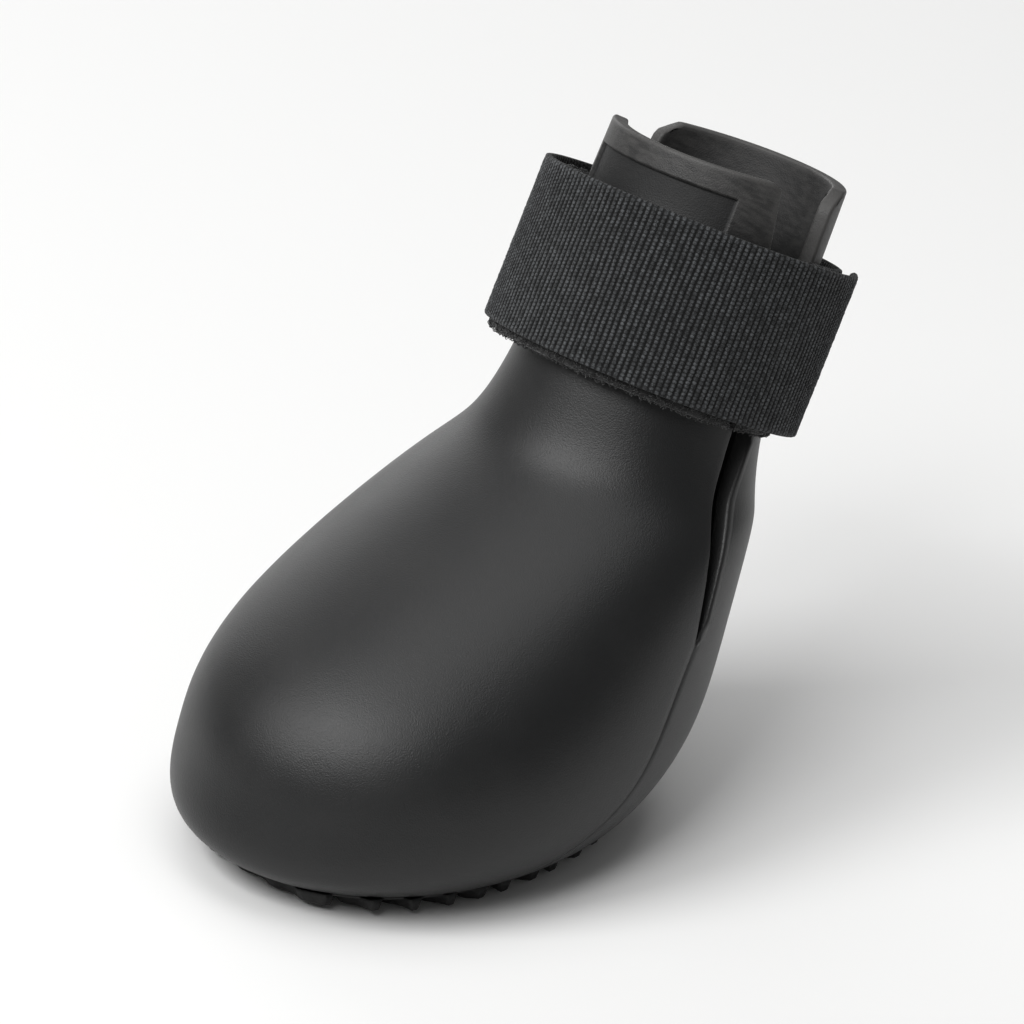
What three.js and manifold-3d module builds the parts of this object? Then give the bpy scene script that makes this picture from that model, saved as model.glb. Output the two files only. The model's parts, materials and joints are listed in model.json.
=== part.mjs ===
// Dog boot: a hollow moulded rubber upper with a split collar, a ribbed outsole and a wrapped strap.
// Millimetres. +Z is up, the toe points to -Y, +X is the boot's left side and the floor is z = 0.
// The origin is the middle of the outsole's tread, on the floor.
import * as THREE from "three";
import { mergeVertices } from "three/addons/utils/BufferGeometryUtils.js";
import Module from "manifold-3d";

const wasm = await Module();
wasm.setup();

// Driving sizes of the boot
const FOOT_LENGTH = 95;
const BALL_WIDTH = 67;
const ANKLE_HEIGHT = 42.5;
const WALL = 2.3;
const TREAD_LENGTH = 64.5;
const TREAD_WIDTH = 50.5;
const SHAFT_WIDTH = 38;
const SHAFT_DEPTH = 34;
const SHAFT_LEAN = THREE.MathUtils.degToRad(25.9);
const STRAP_HEIGHT = 70.2;
const STRAP_SETBACK = 47.9;
const STRAP_WIDTH = 25;
const COLLAR_RISE = 9.8;
const GAP = 0.3;

// Outsole: ribs under a plate, whose rim lies under the upper's edge and whose plug fills its open underside
const RIB_DEPTH = 1.7;
const RIB_PITCH = 4.85;
const RIB_FOOT = 3.9;
const RIB_TIP = 2.7;
const RIB_WAVE = 0.5;
const RIB_STEP = 3.1;
const RIB_INSET = 0.5;
const RIB_END_SHARE = 0.7;
const RIM_LIFT = 0.7;
const RIM_EDGE = 0.6;
const RIM_OVERHANG = 1.3;
const FLAT_SHARE = 0.75;
const SPRING = 0.4;
const PLUG = 1.3;
const PAW_WIDTH = 21;
const PAW_LENGTH = 22;
const SOLE_RIM = RIB_DEPTH + RIM_LIFT + RIM_EDGE;
const PAD_DEPTH = RIB_DEPTH + RIM_EDGE / 2;

// Collar slits and the strap's seat in the front flap
const SLIT_BOTTOM = 43.2;
const LIP = 0.5;
const LIP_WIDTH = 1.5;
const LIP_START = 1.5;
const CORNER = 2.8;
const COLLAR_EDGE = 0.35;
const SEAT_DEPTH = 0.5;
const SEAT_TOP = 3.8;
const SEAT_LENGTH = 26;
const SEAT_HALF_ANGLE = THREE.MathUtils.degToRad(46);
// The slits' edges. rise: share of the way from the slit's end to the collar; front, rear: how far each edge lies
// behind the shaft's middle line, as shares of the shaft's half depth.
const SLIT_ROWS = [
  { rise: 0, front: -0.21, rear: -0.12 },
  { rise: 0.26, front: -0.19, rear: 0.08 },
  { rise: 0.45, front: -0.07, rear: 0.27 },
  { rise: 1, front: -0.425, rear: 0.235 },
];

// Strap layers, from the shaft outwards
const LOOP_THICK = 1.0;
const WEB_THICK = 1.0;
const HOOK_THICK = 0.5;
const LOOP_DROP = 1.2;
const STRAP_REST = 0.8;
const STRAP_SLACK = 3.6;
const OVERLAP = WEB_THICK + HOOK_THICK + 2 * GAP;

// How finely the round forms are faceted
const COLUMNS = 64;
const STRAP_STEP = 7;
// Levels of the upper's rings, as shares of the way from the sole edge to the collar
const LEVELS = [
  0, 0.045, 0.09, 0.14, 0.19, 0.25, 0.31, 0.36, 0.41, 0.46, 0.51, 0.56, 0.62, 0.68, 0.75, 0.84, 0.93,
];
const RIGHT_ANGLE = Math.PI / 2;

// The foot's sections above the sole edge. level: share of the ankle height; toe, heel: shares of the foot
// length ahead of and behind the origin; half: share of half the ball width; tilt: share of the shaft's lean;
// spring: share of the toe spring; egg: how much wider the toe half is than the heel half.
const FOOT_ROWS = [
  { level: 0.182, toe: 0.396, heel: 0.41, half: 0.93, tilt: 0, spring: 0.25, egg: 0.02 },
  { level: 0.374, toe: 0.368, heel: 0.485, half: 1, tilt: 0, spring: 0, egg: 0.03 },
  { level: 0.67, toe: 0.268, heel: 0.542, half: 0.949, tilt: 0.116, spring: 0, egg: 0.03 },
  { level: 1, toe: -0.05, heel: 0.58, half: 0.8, tilt: 0.35, spring: 0, egg: 0.02 },
];

// The shaft's sections. rise: distance above the strap's middle, as a share of the strap's width;
// deep, wide: shares of the shaft's half depth and half width; tilt: share of its lean.
const SHAFT_ROWS = [
  { rise: -0.96, deep: 1.14, wide: 1.26, tilt: 0.75 },
  { rise: -0.56, deep: 1.035, wide: 1.04, tilt: 1 },
  { rise: 0, deep: 1, wide: 1, tilt: 1 },
  { rise: 0.5 + COLLAR_RISE / STRAP_WIDTH, deep: 0.98, wide: 0.97, tilt: 0.74 },
];

// How far the strap stands off the shaft. turn: degrees round the shaft from the front, past the left side;
// slack: share of the ring's slack; lap: share of the layers that the free end lies over.
const STRAP_ROUTE = [
  { turn: 84, slack: 0, lap: 0 },
  { turn: 130, slack: 0, lap: 0 },
  { turn: 180, slack: 0.08, lap: 0 },
  { turn: 225, slack: 0.45, lap: 0 },
  { turn: 270, slack: 0.8, lap: 0 },
  { turn: 315, slack: 0.95, lap: 0 },
  { turn: 360, slack: 0.93, lap: 0 },
  { turn: 405, slack: 0.85, lap: 0 },
  { turn: 440, slack: 0.1, lap: 1 },
  { turn: 498, slack: 0.1, lap: 1 },
];
// The loop band ends under the free end's rise; the web band starts a little past the loop band's start.
const LOOP_END = 434;
const WEB_START = 3;
const HOOK_START = 92;
const HOOK_END = 128;
const HOOK_SHARE = 0.84;

// The paw relief's small pads. side: share of the paw's half width; ahead: share of its half length.
const TOE_PADS = [
  { side: 0.76, ahead: 0.3, turn: -12 },
  { side: 0.31, ahead: 0.75, turn: -4 },
  { side: -0.31, ahead: 0.75, turn: 4 },
  { side: -0.76, ahead: 0.3, turn: 12 },
];
const TOE_PAD_LENGTH = 4.6;
const TOE_PAD_WIDTH = 3.2;
const MAIN_PAD_WIDTH = 13.2;
const MAIN_PAD_LENGTH = 9;
const MAIN_PAD_BACK = 1.6;

// A natural cubic spline through values at even steps of its parameter from 0 to 1.
function spline(values) {
  const last = values.length - 1;
  const bend = new Array(last + 1).fill(0);
  const upper = new Array(last + 1).fill(0);
  for (let i = 1; i < last; i++) {
    const pivot = 4 - upper[i - 1];
    upper[i] = 1 / pivot;
    bend[i] = (6 * (values[i + 1] - 2 * values[i] + values[i - 1]) - bend[i - 1]) / pivot;
  }
  for (let i = last - 1; i > 0; i--) bend[i] -= upper[i] * bend[i + 1];
  return (t) => {
    const i = Math.max(0, Math.min(last - 1, Math.floor(t * last)));
    const b = t * last - i;
    const a = 1 - b;
    return a * values[i] + b * values[i + 1] + ((a ** 3 - a) * bend[i] + (b ** 3 - b) * bend[i + 1]) / 6;
  };
}

// The shaft's own frame: along runs up the shaft, behind runs to its back, both in the side view.
const along = new THREE.Vector3(0, Math.sin(SHAFT_LEAN), Math.cos(SHAFT_LEAN));
const behind = new THREE.Vector3(0, Math.cos(SHAFT_LEAN), -Math.sin(SHAFT_LEAN));
const strapMiddle = new THREE.Vector3(0, STRAP_SETBACK, STRAP_HEIGHT);

const soleEdge = {
  y: 0,
  z: SOLE_RIM + GAP,
  deep: TREAD_LENGTH / 2 + RIM_OVERHANG,
  wide: TREAD_WIDTH / 2 + RIM_OVERHANG,
  tilt: 0,
  spring: SPRING,
  egg: 0,
};
const sections = [
  soleEdge,
  ...FOOT_ROWS.map((row) => ({
    y: ((row.heel - row.toe) * FOOT_LENGTH) / 2,
    z: row.level * ANKLE_HEIGHT,
    deep: ((row.heel + row.toe) * FOOT_LENGTH) / 2,
    wide: (row.half * BALL_WIDTH) / 2,
    tilt: row.tilt * SHAFT_LEAN,
    spring: row.spring * SPRING,
    egg: row.egg,
  })),
  ...SHAFT_ROWS.map((row) => ({
    y: strapMiddle.y + along.y * row.rise * STRAP_WIDTH,
    z: strapMiddle.z + along.z * row.rise * STRAP_WIDTH,
    deep: (row.deep * SHAFT_DEPTH) / 2,
    wide: (row.wide * SHAFT_WIDTH) / 2,
    tilt: row.tilt * SHAFT_LEAN,
    spring: 0,
    egg: 0,
  })),
];
const curves = {};
for (const key of Object.keys(sections[0])) curves[key] = spline(sections.map((section) => section[key]));

function sectionAt(t) {
  const section = {};
  for (const key of Object.keys(curves)) section[key] = curves[key](t);
  return section;
}

// A point of the upper's outer skin: t runs from the sole edge to the collar, and u is the angle from the toe
// towards the left side.
function skinPoint(t, u) {
  const s = sectionAt(t);
  const forward = Math.cos(u) * s.deep;
  const side = Math.sin(u) * s.wide * (1 + s.egg * Math.cos(u));
  const spring = s.spring * Math.abs(Math.cos(u)) ** 3;
  return new THREE.Vector3(
    side,
    s.y - forward * Math.cos(s.tilt),
    s.z + forward * Math.sin(s.tilt) + spring,
  );
}

function skinNormal(t, u) {
  const step = 1e-3;
  const up = skinPoint(t + step, u).sub(skinPoint(t - step, u));
  const around = skinPoint(t, u + step).sub(skinPoint(t, u - step));
  return around.cross(up).normalize();
}

// The skin moved in by depth. At the sole edge it moves in level, so that the edge face lies flat.
function insetPoint(t, u, depth) {
  const point = skinPoint(t, u);
  const normal = skinNormal(t, u);
  if (t === 0) {
    const level = Math.hypot(normal.x, normal.y);
    return point.sub(new THREE.Vector3(normal.x, normal.y, 0).multiplyScalar(depth / level ** 2));
  }
  return point.addScaledVector(normal, -depth);
}

// The level t that lies a distance below the collar, down to the strap's middle.
function belowCollar(distance) {
  return 1 - distance / (COLLAR_RISE + STRAP_WIDTH / 2) / (sections.length - 1);
}

// A closed solid from shared points and faces of three or four corners, turned to face out.
function solidFrom(points, faces) {
  const triangles = faces.flatMap(([a, b, c, d]) => {
    return d === undefined ? [[a, b, c]] : [[a, b, c], [a, c, d]];
  });
  const volume = triangles.reduce((sum, [a, b, c]) => {
    return sum + points[a].dot(new THREE.Vector3().crossVectors(points[b], points[c]));
  }, 0);
  const turned = volume < 0 ? triangles.map(([a, b, c]) => [a, c, b]) : triangles;
  const vertProperties = new Float32Array(points.flatMap((point) => point.toArray()));
  const triVerts = new Uint32Array(turned.flat());
  return new wasm.Manifold(new wasm.Mesh({ numProp: 3, vertProperties, triVerts }));
}

// A wall between two skins: at(i, j, side) gives the lattice's points, side 0 on one skin and 1 on the other.
// A ring closes on itself in j.
function wallSolid(rows, columns, ring, at) {
  const width = ring ? columns : columns + 1;
  const points = [];
  for (const side of [0, 1]) {
    for (let i = 0; i <= rows; i++) {
      for (let j = 0; j < width; j++) points.push(at(i, j, side));
    }
  }
  const index = (i, j, side) => (side * (rows + 1) + i) * width + (j % width);
  const faces = [];
  for (let i = 0; i < rows; i++) {
    for (let j = 0; j < columns; j++) {
      faces.push([index(i, j, 1), index(i, j + 1, 1), index(i + 1, j + 1, 1), index(i + 1, j, 1)]);
      faces.push([index(i, j, 0), index(i + 1, j, 0), index(i + 1, j + 1, 0), index(i, j + 1, 0)]);
    }
  }
  for (let j = 0; j < columns; j++) {
    faces.push([index(0, j, 0), index(0, j + 1, 0), index(0, j + 1, 1), index(0, j, 1)]);
    faces.push([index(rows, j, 1), index(rows, j + 1, 1), index(rows, j + 1, 0), index(rows, j, 0)]);
  }
  for (let i = 0; i < rows && !ring; i++) {
    faces.push([index(i, 0, 0), index(i, 0, 1), index(i + 1, 0, 1), index(i + 1, 0, 0)]);
    const [near, far] = [index(i, columns, 0), index(i, columns, 1)];
    faces.push([far, near, index(i + 1, columns, 0), index(i + 1, columns, 1)]);
  }
  return solidFrom(points, faces);
}

function solidFromGeometry(geometry) {
  geometry.deleteAttribute("normal");
  geometry.deleteAttribute("uv");
  const merged = mergeVertices(geometry, 1e-4);
  return new wasm.Manifold(
    new wasm.Mesh({
      numProp: 3,
      vertProperties: merged.attributes.position.array,
      triVerts: new Uint32Array(merged.index.array),
    }),
  );
}

function namedMesh(name, solid, material) {
  const { vertProperties, triVerts } = solid.getMesh();
  const geometry = new THREE.BufferGeometry();
  geometry.setAttribute("position", new THREE.BufferAttribute(vertProperties, 3));
  geometry.setIndex(new THREE.BufferAttribute(triVerts, 1));
  geometry.computeVertexNormals();
  const mesh = new THREE.Mesh(geometry, material);
  mesh.name = name;
  return mesh;
}

// A bar across the boot whose outline is drawn in the shaft's own side view: each corner gives its rise above
// the slit's bottom end and its offset behind the shaft's middle line.
function sideBar(corners, near, far, mirror) {
  const shape = new THREE.Shape();
  corners.forEach(({ rise, offset }, i) => {
    const point = strapMiddle.clone();
    point.addScaledVector(along, rise - SLIT_BOTTOM).addScaledVector(behind, offset);
    if (i) shape.lineTo(point.y, point.z);
    else shape.moveTo(point.y, point.z);
  });
  const geometry = new THREE.ExtrudeGeometry(shape, { depth: far - near, bevelEnabled: false });
  geometry.rotateY(RIGHT_ANGLE);
  geometry.rotateX(RIGHT_ANGLE);
  geometry.translate(mirror > 0 ? near : -far, 0, 0);
  return solidFromGeometry(geometry);
}

const COLLAR = SLIT_BOTTOM + STRAP_WIDTH / 2 + COLLAR_RISE;

// Where a slit's edge lies behind the middle line at a rise above the slit's end, straight between its rows.
function slitEdge(side, rise) {
  const share = rise / COLLAR;
  const next = Math.max(1, SLIT_ROWS.findIndex((row) => row.rise >= share));
  const [a, b] = [SLIT_ROWS[next - 1], SLIT_ROWS[next]];
  const place = THREE.MathUtils.mapLinear(share, a.rise, b.rise, a[side], b[side]);
  return (place * SHAFT_DEPTH) / 2;
}

// Points of a quarter round from one angle to another about a centre in the side view.
function roundCorner(rise, offset, radius, from, to) {
  return [0, 1, 2, 3, 4].map((i) => {
    const angle = THREE.MathUtils.degToRad(from + ((to - from) * i) / 4);
    return { rise: rise + radius * Math.sin(angle), offset: offset + radius * Math.cos(angle) };
  });
}

// The slit with its round bottom end, and the rounded top corners of both flaps.
function slitCutter(mirror) {
  const above = COLLAR + CORNER;
  const corner = COLLAR - CORNER;
  const [first, last] = [slitEdge("front", 0), slitEdge("rear", 0)];
  const end = (last - first) / 2;
  const front = slitEdge("front", corner) - CORNER;
  const rear = slitEdge("rear", corner) + CORNER;
  const bends = SLIT_ROWS.slice(1, -1).map((row) => row.rise * COLLAR);
  const corners = [
    ...roundCorner(end, (first + last) / 2, end, 180, 360),
    ...bends.map((rise) => ({ rise, offset: slitEdge("rear", rise) })),
    ...roundCorner(corner, rear, CORNER, 180, 90),
    { rise: above, offset: rear },
    { rise: above, offset: front },
    ...roundCorner(corner, front, CORNER, 90, 0),
    ...bends.toReversed().map((rise) => ({ rise, offset: slitEdge("front", rise) })),
  ];
  return sideBar(corners, SHAFT_WIDTH / 8, BALL_WIDTH, mirror);
}

// The raised lip along the slits' rear edges, up to the strap: a thicker shell, kept in strips beside them.
function slitLips() {
  const levels = LEVELS.filter((level) => level > 0.2 && level < 0.8);
  const grown = wallSolid(levels.length - 1, COLUMNS, true, (i, j, side) => {
    const u = (2 * Math.PI * j) / COLUMNS;
    return insetPoint(levels[i], u, side ? -LIP : WALL / 2);
  });
  const high = SLIT_BOTTOM - STRAP_WIDTH / 2 - LOOP_DROP - LIP_WIDTH;
  const rises = [0, 1, 2, 3].map((i) => THREE.MathUtils.lerp(LIP_START, high, i / 3));
  const strip = [
    ...rises.map((rise) => ({ rise, offset: slitEdge("rear", rise) + LIP_WIDTH })),
    ...rises.toReversed().map((rise) => ({ rise, offset: slitEdge("front", rise) })),
  ];
  const strips = [1, -1].map((mirror) => sideBar(strip, SHAFT_WIDTH / 8, BALL_WIDTH, mirror));
  return grown.intersect(wasm.Manifold.union(strips));
}

// A shallow block cut out of the front flap, where the strap lies.
function strapSeat() {
  const top = belowCollar(SEAT_TOP);
  const bottom = belowCollar(SEAT_TOP + SEAT_LENGTH);
  const [rows, columns] = [4, 14];
  return wallSolid(rows, columns, false, (i, j, side) => {
    const t = THREE.MathUtils.lerp(bottom, top, i / rows);
    const u = SEAT_HALF_ANGLE * ((2 * j) / columns - 1);
    return insetPoint(t, u, side ? -2 * SEAT_DEPTH : SEAT_DEPTH);
  });
}

function makeUpper() {
  const edge = COLLAR_EDGE * WALL;
  const rows = [...LEVELS, belowCollar(edge), 1];
  const shell = wallSolid(rows.length - 1, COLUMNS, true, (i, j, side) => {
    const u = (2 * Math.PI * j) / COLUMNS;
    const rounding = i === rows.length - 1 ? edge : 0;
    return insetPoint(rows[i], u, side ? rounding : WALL - rounding);
  });
  return shell.subtract(strapSeat()).add(slitLips()).subtract(slitCutter(1)).subtract(slitCutter(-1));
}

// The tread's underside: how far it rises above the floor at a place given by its share of the way to the
// outline and its angle from the toe.
function treadLift(share, u) {
  const past = Math.max(0, (share - FLAT_SHARE) / (1 - FLAT_SHARE));
  return past ** 2 * (RIM_LIFT + SPRING * Math.abs(Math.cos(u)) ** 3);
}

function treadLiftAt(x, y) {
  const across = (2 * x) / TREAD_WIDTH;
  const ahead = (-2 * y) / TREAD_LENGTH;
  return treadLift(Math.min(1, Math.hypot(across, ahead)), Math.atan2(across, ahead));
}

// The plate under the upper, from the middle of its underside out to its rim and in over its plug.
function solePlate() {
  const points = [new THREE.Vector3(0, 0, RIB_DEPTH), new THREE.Vector3(0, 0, SOLE_RIM + PLUG)];
  const rings = [];
  const addRing = (place) => {
    const ring = Array.from({ length: COLUMNS }, (_, j) => place((2 * Math.PI * j) / COLUMNS));
    rings.push(ring.map((point) => points.push(point) - 1));
  };
  const outline = (share, u, z) => {
    const across = (Math.sin(u) * share * TREAD_WIDTH) / 2;
    const ahead = (Math.cos(u) * share * TREAD_LENGTH) / 2;
    return new THREE.Vector3(across, -ahead, z);
  };
  const rim = (u) => SOLE_RIM + SPRING * Math.abs(Math.cos(u)) ** 3;
  const plug = (u, z) => insetPoint(0, u, WALL + GAP).setZ(z);
  for (const share of [0.5, FLAT_SHARE, (1 + FLAT_SHARE) / 2, 1]) {
    addRing((u) => outline(share, u, RIB_DEPTH + treadLift(share, u)));
  }
  addRing((u) => outline(1, u, rim(u)));
  addRing((u) => plug(u, rim(u)));
  addRing((u) => plug(u, rim(u) + PLUG));
  const faces = [];
  for (let j = 0; j < COLUMNS; j++) {
    const next = (j + 1) % COLUMNS;
    faces.push([0, rings[0][j], rings[0][next]]);
    for (let i = 0; i + 1 < rings.length; i++) {
      faces.push([rings[i][j], rings[i + 1][j], rings[i + 1][next], rings[i][next]]);
    }
    faces.push([1, rings.at(-1)[next], rings.at(-1)[j]]);
  }
  return solidFrom(points, faces);
}

// One rib across the tread, a zigzag bar with a narrower underside and narrower ends.
function soleRib(y, phase) {
  const reach = (TREAD_WIDTH / 2 - RIB_INSET) * Math.sqrt(Math.max(0, 1 - ((2 * y) / TREAD_LENGTH) ** 2));
  const steps = Math.max(2, 2 * Math.round(reach / RIB_STEP));
  const wave = (i) => RIB_WAVE * ((i + phase) % 2 === 0 ? 1 : -1);
  return wallSolid(steps, 1, false, (i, j, side) => {
    const x = reach * ((2 * i) / steps - 1);
    const taper = i === 0 || i === steps ? RIB_END_SHARE : 1;
    const half = ((side ? RIB_FOOT : RIB_TIP) / 2) * taper * (j ? 1 : -1);
    const lift = treadLiftAt(x, y);
    return new THREE.Vector3(x, y + wave(i) + half, side ? lift + PAD_DEPTH : lift);
  });
}

// A pad of the paw relief, as deep as the ribs and rooted in the plate.
function padFrom(shape, curveSegments, x, y, turn) {
  const geometry = new THREE.ExtrudeGeometry(shape, { depth: PAD_DEPTH, bevelEnabled: false, curveSegments });
  geometry.rotateZ(THREE.MathUtils.degToRad(turn));
  geometry.translate(x, y, 0);
  return solidFromGeometry(geometry);
}

function toePad({ side, ahead, turn }) {
  const shape = new THREE.Shape().absellipse(0, 0, TOE_PAD_WIDTH / 2, TOE_PAD_LENGTH / 2, 0, 2 * Math.PI);
  return padFrom(shape, 10, (side * PAW_WIDTH) / 2, (-ahead * PAW_LENGTH) / 2 - MAIN_PAD_BACK, turn);
}

// The paw's main pad: round towards the toe, hollowed a little towards the heel.
function mainPad() {
  const w = MAIN_PAD_WIDTH / 2;
  const l = MAIN_PAD_LENGTH / 2;
  const shape = new THREE.Shape();
  shape.moveTo(0, -l);
  shape.bezierCurveTo(w * 0.7, -l, w * 0.75, -l * 0.1, w * 0.98, l * 0.35);
  shape.bezierCurveTo(w * 1.1, l * 1.15, w * 0.45, l * 1.15, 0, l * 0.75);
  shape.bezierCurveTo(-w * 0.45, l * 1.15, -w * 1.1, l * 1.15, -w * 0.98, l * 0.35);
  shape.bezierCurveTo(-w * 0.75, -l * 0.1, -w * 0.7, -l, 0, -l);
  return padFrom(shape, 7, 0, MAIN_PAD_BACK, 0);
}

function makeOutsole() {
  const count = Math.floor((TREAD_LENGTH / 2 - RIB_FOOT / 2 - RIB_WAVE) / RIB_PITCH);
  const ribs = [];
  for (let n = -count; n <= count; n++) ribs.push(soleRib(n * RIB_PITCH, n & 1));
  const patch = new THREE.CylinderGeometry(1, 1, 4 * RIB_DEPTH, 32);
  patch.rotateX(RIGHT_ANGLE);
  patch.scale(PAW_WIDTH / 2, PAW_LENGTH / 2, 1);
  patch.translate(0, -MAIN_PAD_BACK, 0);
  const cleared = wasm.Manifold.union(ribs).subtract(solidFromGeometry(patch));
  return wasm.Manifold.union([solePlate(), cleared, mainPad(), ...TOE_PADS.map(toePad)]);
}

function strapStand(turn) {
  const next = Math.max(1, STRAP_ROUTE.findIndex((stop) => stop.turn >= turn - 1e-6));
  const [a, b] = [STRAP_ROUTE[next - 1], STRAP_ROUTE[next]];
  const share = THREE.MathUtils.smoothstep(turn, a.turn, b.turn);
  const slack = THREE.MathUtils.lerp(a.slack, b.slack, share);
  const lap = THREE.MathUtils.lerp(a.lap, b.lap, share);
  return STRAP_REST + STRAP_SLACK * slack + OVERLAP * lap;
}

// A band round the shaft between two turns, from one distance off the strap's inner face to another.
function strapBand(from, to, inner, outer, low, high) {
  const steps = Math.round((to - from) / STRAP_STEP);
  return wallSolid(steps, 1, false, (i, j, side) => {
    const turn = from + ((to - from) * i) / steps;
    const u = THREE.MathUtils.degToRad(turn);
    const reach = strapStand(turn) + (side ? outer : inner);
    return strapMiddle
      .clone()
      .addScaledVector(along, j ? high : low)
      .addScaledVector(behind, -Math.cos(u) * (SHAFT_DEPTH / 2 + reach))
      .add(new THREE.Vector3(Math.sin(u) * (SHAFT_WIDTH / 2 + reach), 0, 0));
  });
}

const ROUTE_START = STRAP_ROUTE[0].turn;
const ROUTE_END = STRAP_ROUTE.at(-1).turn;
const WEB_INNER = LOOP_THICK + GAP;
const HOOK_INNER = WEB_INNER + WEB_THICK + GAP;

// The loop-pile band against the shaft, a little lower than the web, so that its lower edge shows.
function makeLoop() {
  const [low, high] = [-STRAP_WIDTH / 2 - LOOP_DROP, STRAP_WIDTH / 2 - LOOP_DROP];
  return strapBand(ROUTE_START, LOOP_END, 0, LOOP_THICK, low, high);
}

// The woven band over it, whose free end laps over its own start at the left rear.
function makeWeb() {
  const half = STRAP_WIDTH / 2;
  return strapBand(ROUTE_START + WEB_START, ROUTE_END, WEB_INNER, WEB_INNER + WEB_THICK, -half, half);
}

// The hook patch between the lap and the band's start.
function makeHook() {
  const half = (HOOK_SHARE * STRAP_WIDTH) / 2;
  return strapBand(HOOK_START, HOOK_END, HOOK_INNER, HOOK_INNER + HOOK_THICK, -half, half);
}

const moulded = new THREE.MeshStandardMaterial({ color: 0x1b1c1e, roughness: 0.45, metalness: 0 });
const treadRubber = new THREE.MeshStandardMaterial({ color: 0x121314, roughness: 0.75, metalness: 0 });
const webbing = new THREE.MeshStandardMaterial({ color: 0x17181a, roughness: 0.9, metalness: 0 });
const pile = new THREE.MeshStandardMaterial({ color: 0x0c0c0e, roughness: 1, metalness: 0 });

const boot = new THREE.Group();
boot.add(namedMesh("upper", makeUpper(), moulded));
boot.add(namedMesh("outsole", makeOutsole(), treadRubber));
boot.add(namedMesh("strap_loop", makeLoop(), pile));
boot.add(namedMesh("strap_web", makeWeb(), webbing));
boot.add(namedMesh("strap_hook", makeHook(), pile));

export default boot;
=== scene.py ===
"""The looks of a moulded rubber dog boot with a ribbed sole and a wrapped strap, built round its frame.

Sizes are in millimetres until a mesh is made, and then in metres. +Z is up, the toe points to -Y and +X is
the boot's left side. The origin is the middle of the tread, on the floor.
"""

import json
import logging
import math
from dataclasses import dataclass
from enum import Enum
from typing import Sequence

import bmesh
import bpy
import numpy as np
from mathutils import Matrix, Quaternion, Vector

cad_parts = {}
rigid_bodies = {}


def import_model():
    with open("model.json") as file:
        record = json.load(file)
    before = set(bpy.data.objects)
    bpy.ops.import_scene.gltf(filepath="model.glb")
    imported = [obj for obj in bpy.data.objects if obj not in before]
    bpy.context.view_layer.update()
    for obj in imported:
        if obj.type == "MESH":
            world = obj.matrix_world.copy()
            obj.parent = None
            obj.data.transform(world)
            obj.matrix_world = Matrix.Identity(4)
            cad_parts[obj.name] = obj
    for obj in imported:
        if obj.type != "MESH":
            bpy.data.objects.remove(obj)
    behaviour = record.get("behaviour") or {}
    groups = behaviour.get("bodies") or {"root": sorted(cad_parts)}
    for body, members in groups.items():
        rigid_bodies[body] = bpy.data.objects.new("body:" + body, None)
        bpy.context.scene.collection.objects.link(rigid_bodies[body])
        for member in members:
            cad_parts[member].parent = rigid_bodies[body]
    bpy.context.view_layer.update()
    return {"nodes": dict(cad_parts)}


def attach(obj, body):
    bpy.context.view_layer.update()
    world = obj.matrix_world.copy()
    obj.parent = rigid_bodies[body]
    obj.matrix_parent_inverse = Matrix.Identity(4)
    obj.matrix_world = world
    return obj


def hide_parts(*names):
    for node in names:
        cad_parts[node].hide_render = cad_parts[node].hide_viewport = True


log = logging.getLogger("dog_boot")
MM = 0.001
BODY = "root"
Input = float | int | bpy.types.Object | bpy.types.Material


class Layer(Enum):
    """The record's material slots, one for each layer of the boot."""

    UPPER = "moulded_rubber"
    TREAD = "tread_rubber"
    WEB = "webbing"
    PILE = "pile"
    HOOK = "hook_tape"


class Edge(Enum):
    """The two edges of a collar slit, by the way they lean from its middle line."""

    FRONT = -1
    REAR = 1


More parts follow.
